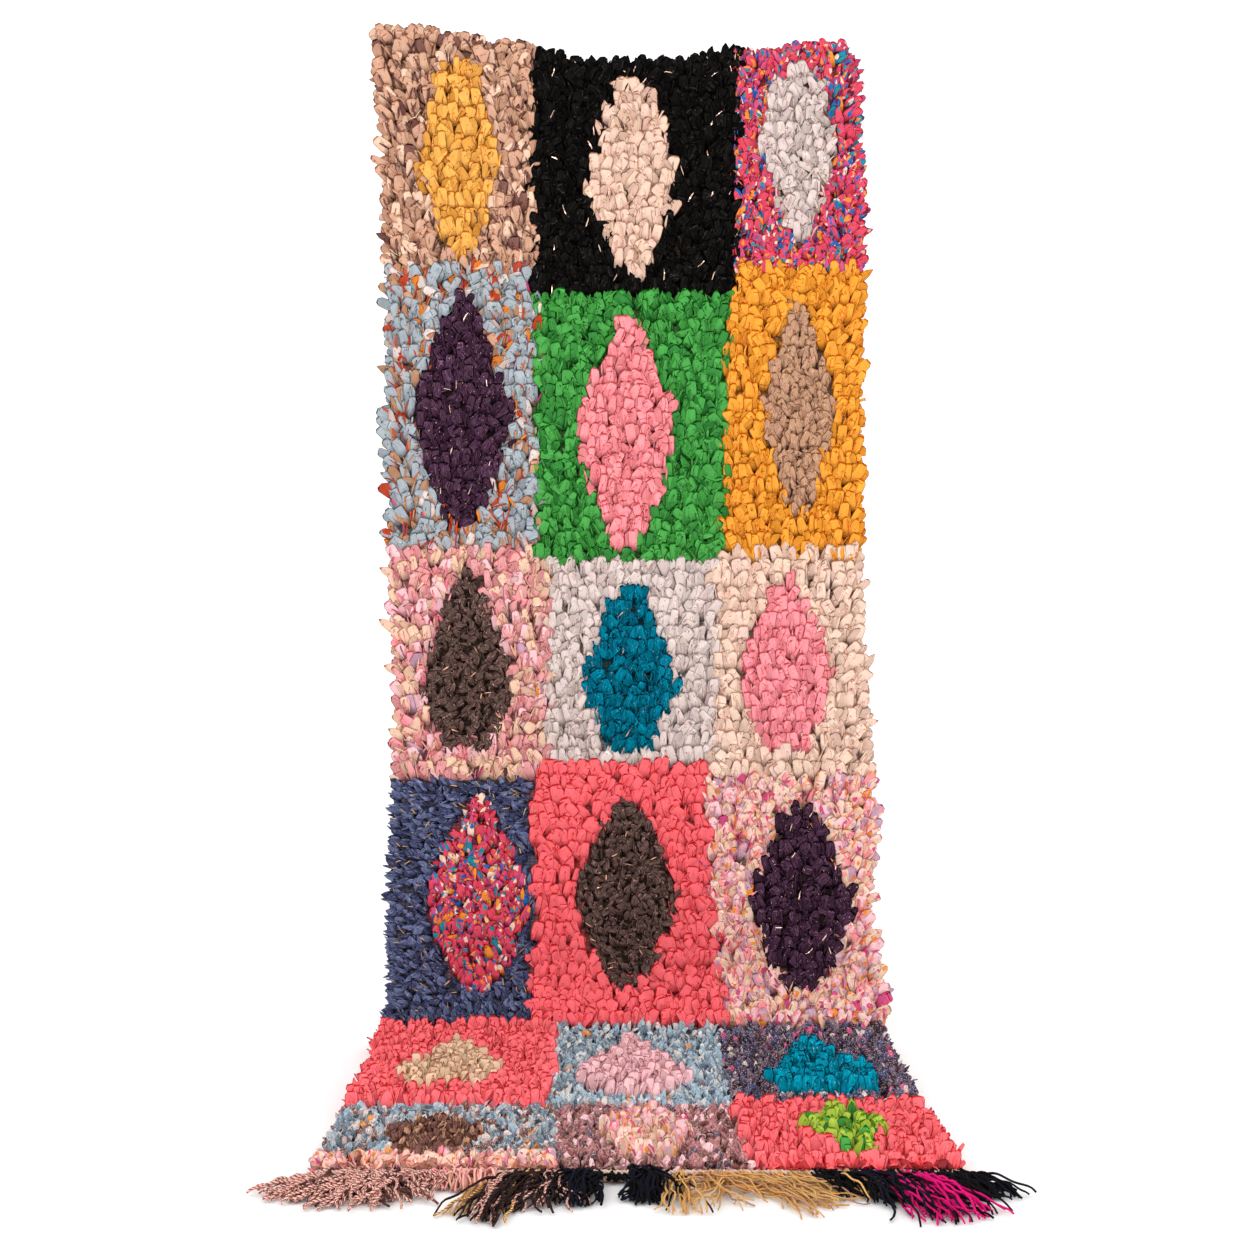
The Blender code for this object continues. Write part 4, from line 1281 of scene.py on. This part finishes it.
# Bunches of yarns from left to right. half is half the width of their roots. aim 0 points away from the
# wall, and positive aims point right. curl bends the yarns further the same way by their tips, loop lets
# the tips wander, and spread fans them out. heap is how high they lie on each other and crimp how wavy they
# are.
TASSELS = table(
    "name x half yarns radius length aim curl loop spread heap crimp weave dyes",
    ("dusty_pink", -0.372, 0.022, 46, 0.0026, 0.118, -33, -6, 0.9, 20, 0.012, 0.62, "two_ply",
     {"yarn_pink": 9, "cocoa": 1, "yarn_brown": 1}),
    ("dark_brown", -0.338, 0.02, 38, 0.0026, 0.136, -12, -5, 0.9, 22, 0.014, 0.62, "two_ply",
     {"yarn_pink": 8, "cocoa": 1, "yarn_brown": 1}),
    ("mauve", -0.299, 0.018, 34, 0.0025, 0.128, 4, 0, 1.2, 20, 0.014, 0.64, "two_ply",
     {"yarn_pink": 8, "cocoa": 1, "yarn_brown": 1}),
    ("pink_knot", -0.26, 0.018, 36, 0.0021, 0.07, 0, 0, 3.6, 50, 0.022, 0.6, "two_ply", {"yarn_pink": 1}),
    ("peach_rag", -0.204, 0.028, 96, 0.0019, 0.054, -6, 0, 1.6, 44, 0.026, 0.55, "heather",
     {"blossom": 4, "yarn_pink": 5, "rose": 1, "tan": 1}),
    ("brown_ply", -0.128, 0.016, 46, 0.002, 0.184, -18, 2, 0.3, 8, 0.024, 0.36, "two_ply",
     {"yarn_brown": 3, "yarn_black": 6, "yarn_pink": 2, "yarn_tan": 2}),
    ("pink_twist", -0.098, 0.014, 34, 0.002, 0.14, -2, -2, 0.8, 12, 0.022, 0.5, "two_ply",
     {"yarn_black": 5, "yarn_brown": 2, "yarn_pink": 4}),
    ("navy_bundle", -0.054, 0.018, 50, 0.002, 0.124, -7, 2, 0.5, 8, 0.026, 0.56, "yarn",
     {"yarn_navy": 3, "yarn_black": 2}),
    ("small_knot", -0.013, 0.008, 20, 0.002, 0.022, 0, 0, 2.0, 20, 0.01, 0.6, "yarn", {"yarn_black": 1}),
    ("navy_black", 0.025, 0.015, 66, 0.002, 0.108, 0, 0, 0.8, 2, 0.03, 0.6, "yarn",
     {"yarn_navy": 3, "yarn_black": 2}),
    ("tan_black", 0.066, 0.008, 16, 0.0017, 0.14, 0, 0, 0.5, 8, 0.016, 0.24, "yarn",
     {"yarn_tan": 4, "yarn_black": 2}),
    ("black_short", 0.243, 0.012, 26, 0.002, 0.09, 31, 0, 0.6, 10, 0.018, 0.32, "yarn", {"yarn_black": 1}),
    ("tan_mix", 0.27, 0.016, 26, 0.0017, 0.1, 36, 2, 0.3, 8, 0.018, 0.16, "yarn",
     {"yarn_tan": 5, "yarn_black": 2}),
    ("black_long", 0.294, 0.015, 38, 0.002, 0.124, 25, 2, 0.3, 7, 0.022, 0.4, "yarn",
     {"yarn_black": 3, "yarn_navy": 2}),
    ("magenta_inner", 0.325, 0.018, 40, 0.0019, 0.176, 20, 2, 0.5, 7, 0.018, 0.16, "yarn",
     {"yarn_magenta": 5, "yarn_black": 4, "yarn_navy": 2}),
    ("magenta_outer", 0.365, 0.018, 40, 0.0019, 0.166, 20, 3, 0.4, 9, 0.018, 0.18, "yarn",
     {"yarn_magenta": 5, "yarn_black": 4, "aubergine": 1}),
    ("black_end", 0.408, 0.023, 72, 0.002, 0.106, 27, 4, 0.5, 13, 0.018, 0.48, "yarn",
     {"yarn_black": 3, "yarn_navy": 1}),
)

# Loose warp ends, in the same terms.
TAN_ENDS = {"yarn_tan": 6, "gold": 1, "tan": 1}
LOOSE_ENDS = table(
    "x half yarns radius length aim curl loop spread heap crimp dyes",
    (-0.175, 0.014, 18, 0.0014, 0.146, -10, -4, 0.3, 4, 0.01, 0.08, TAN_ENDS),
    (0.122, 0.024, 44, 0.0014, 0.124, 4, 0, 4.6, 16, 0.022, 0.24, TAN_ENDS),
    (0.152, 0.02, 28, 0.0014, 0.17, 32, 10, 0.8, 6, 0.012, 0.26, TAN_ENDS),
    (0.2, 0.028, 34, 0.0014, 0.112, 36, 12, 1.6, 14, 0.012, 0.32, TAN_ENDS),
)


def yarn_paths(spec, roots, aims, lengths, floor, rng):
    """Paths of crimped yarns: out of the heading, over the heap of their bunch and down onto the floor."""
    count = len(aims)
    share = np.linspace(0, 1, YARN_STEPS)[None]
    phase, other, level = rng.uniform(0, 1, (3, count, 1))
    waves = lengths[:, None] * share / rng.uniform(*CRIMP, (count, 1))
    angle = aims[:, None] + math.radians(spec["curl"]) * share + rng.normal(0, YARN_DRIFT, (count, 1)) * share
    angle = angle + spec["loop"] * rng.uniform(-1, 1, (count, 1)) * share**2
    crimp = spec["crimp"] * rng.uniform(*CRIMP_SHARES, (count, 1))
    angle = angle + crimp * np.sin(2 * math.pi * (waves + phase))
    step = lengths[:, None] / (YARN_STEPS - 1) * np.minimum(1, np.arange(YARN_STEPS))[None]
    x = roots[:, :1] + np.cumsum(step * np.sin(angle), 1)
    y = roots[:, 1:2] - np.cumsum(step * np.cos(angle), 1)
    fall = np.exp(-((lengths[:, None] * share / FALL) ** 2))
    rises = RISE * (1 + np.sin(2 * math.pi * (RISE_RATE * waves + other)))
    rest = spec["heap"] * level * (4 * share * (1 - share)) ** HEAP_POWER + rises
    z = floor + spec["radius"] + roots[:, 2:3] * fall + rest * (1 - fall)
    return np.stack([x, y, z], -1)


def lay_bunch(spec, dyes, joined, template, back, floor, rng):
    """Adds one bunch of yarns to a joined mesh."""
    count = spec["yarns"]
    aside = rng.uniform(-1, 1, count)
    height = rng.uniform(LOWEST_ROOT, ROOT_HEIGHT, count)
    roots = np.stack([spec["x"] + aside * spec["half"], np.full(count, back), height], -1)
    fan = aside * FAN_BY_PLACE + rng.normal(0, FAN_BY_CHANCE, count)
    aims = math.radians(spec["aim"]) + math.radians(spec["spread"]) * fan
    lengths = spec["length"] * rng.uniform(*YARN_LENGTHS, count)
    paths = yarn_paths(spec, roots, aims, lengths, floor, rng)
    taper = np.linspace(1, YARN_TIP, YARN_STEPS)[None]
    radii = spec["radius"] * rng.uniform(*YARN_WIDTHS, (count, 1)) * taper
    spans = np.stack([np.full(count, YARN_MAP_WIDTH), lengths], -1)
    colours = plain_dyes(dyes, spec["dyes"], count, len(template.ring), rng)
    joined.add(template, tubes(template, paths, radii), colours, spans, 0)


def record_slot(name):
    return next(s["material_slot"] for s in frame["record"]["subparts"] if s["node"] == name)


class RUG_OT_tassels(Operator):
    """Lays the tassels of yarn on the floor in front of the heading"""

    bl_idname = "rug.tassels"
    bl_label = "Tassels"

    def execute(self, context):
        shape, dyes = context.scene.rug_shape, context.scene.rag_dyes
        rng = np.random.default_rng(shape.seed + 1)
        template = Template(TUBE_SIDES, np.linspace(0, 1, YARN_STEPS), False)
        for spec in TASSELS:
            bunch = Joined()
            lay_bunch(spec, dyes, bunch, template, HEADING_HIGH.y - TASSEL_INSET, -shape.hang_height, rng)
            weave = fabric("tassel_" + spec["weave"], spec["weave"], dyes)
            obj = bunch.build(spec["name"] + "_tassel", [weave], rng)
            keep(obj, record_slot(spec["name"]), spec["name"])
        return {"FINISHED"}


def lay_cord(dyes, joined, template, cord, shape, rng):
    """Adds the two plies of one of the heading's cords to a joined mesh."""
    last = SIDE_EDGES[-1]
    x = np.linspace(last["left"] + CORD_INSET, last["right"] - CORD_INSET, CORD_STEPS)
    radius = CORD_RADIUS * (1 + CORD_SWELL * np.sin(SWELL_WAVES[0] * x + SWELL_WAVES[1] * cord["out"]))
    y = HEADING_HIGH.y - cord["out"] + CORD_SWAY * np.sin(SWAY_WAVES[0] * x + SWAY_WAVES[1] * cord["up"])
    z = -shape.hang_height + cord["up"]
    for ply in (0, math.pi):
        turn = 2 * math.pi * x / CORD_TWIST + ply
        height = CORD_RADIUS * CORD_FLATNESS * np.sin(turn)
        path = np.stack([x, y + CORD_RADIUS * np.cos(turn), z + height], -1)
        colours = plain_dyes(dyes, {"cream": 2, "selvedge": 1}, 1, len(template.ring), rng)
        speckled = (x > SPECKLED_FROM) & (rng.uniform(0, 1, CORD_STEPS) < SPECKLES)
        colours[0, speckled[template.ring]] = dyes.yarn_black[:]
        spans = np.array([[YARN_MAP_WIDTH, x[-1] - x[0]]])
        joined.add(template, tubes(template, path[None], radius[None]), colours, spans, 0)


class RUG_OT_heading(Operator):
    """Lays the corded heading and the loose warp ends in front of it"""

    bl_idname = "rug.heading"
    bl_label = "Heading and Loose Ends"

    def execute(self, context):
        shape, dyes = context.scene.rug_shape, context.scene.rag_dyes
        rng = np.random.default_rng(shape.seed + 2)
        strip = Joined()
        long = Template(TUBE_SIDES, np.linspace(0, 1, CORD_STEPS), False)
        for cord in HEADING_CORDS:
            lay_cord(dyes, strip, long, cord, shape, rng)
        short = Template(TUBE_SIDES, np.linspace(0, 1, YARN_STEPS), False)
        for spec in LOOSE_ENDS:
            lay_bunch(spec, dyes, strip, short, HEADING_HIGH.y - ENDS_INSET, -shape.hang_height, rng)
        obj = strip.build("warp_heading", [fabric("tassel_yarn", "yarn", dyes)], rng)
        keep(obj, "warp_cotton", "fringe_heading")
        return {"FINISHED"}


# ---- the stage ----

CAMERA_PLACE = (0.0, -2.892, -0.979)
CAMERA_LENS = 47.88
FLOOR_SIZE = 9.0
FLOOR_BELOW = 0.0005  # of the rug's lowest point
FLOOR_TONE = (0.93, 0.93, 0.93, 1)
SKY_STRENGTH = 1.22
LIT_POINT = Vector((0, 0, -0.9))
LAMPS = table(
    "name place side power",
    ("key", (-1.6, -3.4, 1.5), 2.2, 24),
    ("fill", (1.9, -3.2, -0.2), 2.0, 10),
)


def hang_lamp(scene, name, place, side, power):
    """A square lamp that faces the rug."""
    lamp = bpy.data.lights.new(name, "AREA")
    lamp.size = side
    lamp.energy = power
    obj = bpy.data.objects.new(name, lamp)
    scene.collection.objects.link(obj)
    away = Vector(place) - LIT_POINT
    obj.matrix_world = Matrix.Translation(place) @ away.to_track_quat("Z", "Y").to_matrix().to_4x4()


class RUG_OT_stage(Operator):
    """Sets the pale floor, the soft light and the camera"""

    bl_idname = "rug.stage"
    bl_label = "Floor, Light and Camera"

    def execute(self, context):
        scene = context.scene
        bm = bmesh.new()
        bmesh.ops.create_grid(bm, x_segments=4, y_segments=4, size=FLOOR_SIZE)
        bmesh.ops.translate(bm, verts=bm.verts[:], vec=(0, 0, CAD_BOX[0][2] - FLOOR_BELOW))
        mesh = bpy.data.meshes.new("floor")
        bm.to_mesh(mesh)
        bm.free()
        floor = bpy.data.objects.new("floor", mesh)
        scene.collection.objects.link(floor)
        material, shader = start_material("pale_floor", roughness=0.9, sheen=0)
        shader.inputs["Base Color"].default_value = FLOOR_TONE
        mesh.materials.append(material)
        world = bpy.data.worlds.new("soft_white")
        world.use_nodes = True
        sky = world.node_tree.nodes["Background"]
        sky.inputs["Color"].default_value = (1, 1, 1, 1)
        sky.inputs["Strength"].default_value = SKY_STRENGTH
        scene.world = world
        for lamp in LAMPS:
            hang_lamp(scene, **lamp)
        camera = bpy.data.objects.new("camera", bpy.data.cameras.new("camera"))
        camera.data.lens = CAMERA_LENS
        camera.location = CAMERA_PLACE
        camera.rotation_euler = (math.pi / 2, 0, 0)
        scene.collection.objects.link(camera)
        scene.camera = camera
        scene.view_settings.view_transform = "Standard"
        return {"FINISHED"}


class RUG_PT_panel(Panel):
    """Lists the steps and their sizes and colours"""

    bl_idname = "RUG_PT_panel"
    bl_label = "Rag Rug"
    bl_space_type = "VIEW_3D"
    bl_region_type = "UI"
    bl_category = "Rag Rug"

    def draw(self, context):
        layout = self.layout
        for step in STEPS:
            layout.operator(step.bl_idname)
        for group in (context.scene.rug_shape, context.scene.rag_dyes):
            box = layout.box()
            for key in group.__annotations__:
                box.prop(group, key)


STEPS = (RUG_OT_stage, RUG_OT_ground, RUG_OT_pile, RUG_OT_heading, RUG_OT_tassels)
GROUPS = (RugShape, RagDyes)


def register():
    for kind in (*GROUPS, *STEPS, RUG_PT_panel):
        bpy.utils.register_class(kind)
    bpy.types.Scene.rug_shape = PointerProperty(type=RugShape)
    bpy.types.Scene.rag_dyes = PointerProperty(type=RagDyes)


def unregister():
    del bpy.types.Scene.rag_dyes
    del bpy.types.Scene.rug_shape
    for kind in reversed((*GROUPS, *STEPS, RUG_PT_panel)):
        bpy.utils.unregister_class(kind)


def declare_cloth():
    """Works out the cloth's length from its shape, and does nothing more with it."""
    shape = bpy.context.scene.rug_shape
    cloth_length(shape)


def main():
    register()
    bpy.ops.rug.stage()
    bpy.ops.rug.ground()
    bpy.ops.rug.pile()
    bpy.ops.rug.heading()
    bpy.ops.rug.tassels()
    declare_cloth()


if __name__ == "__main__":
    main()
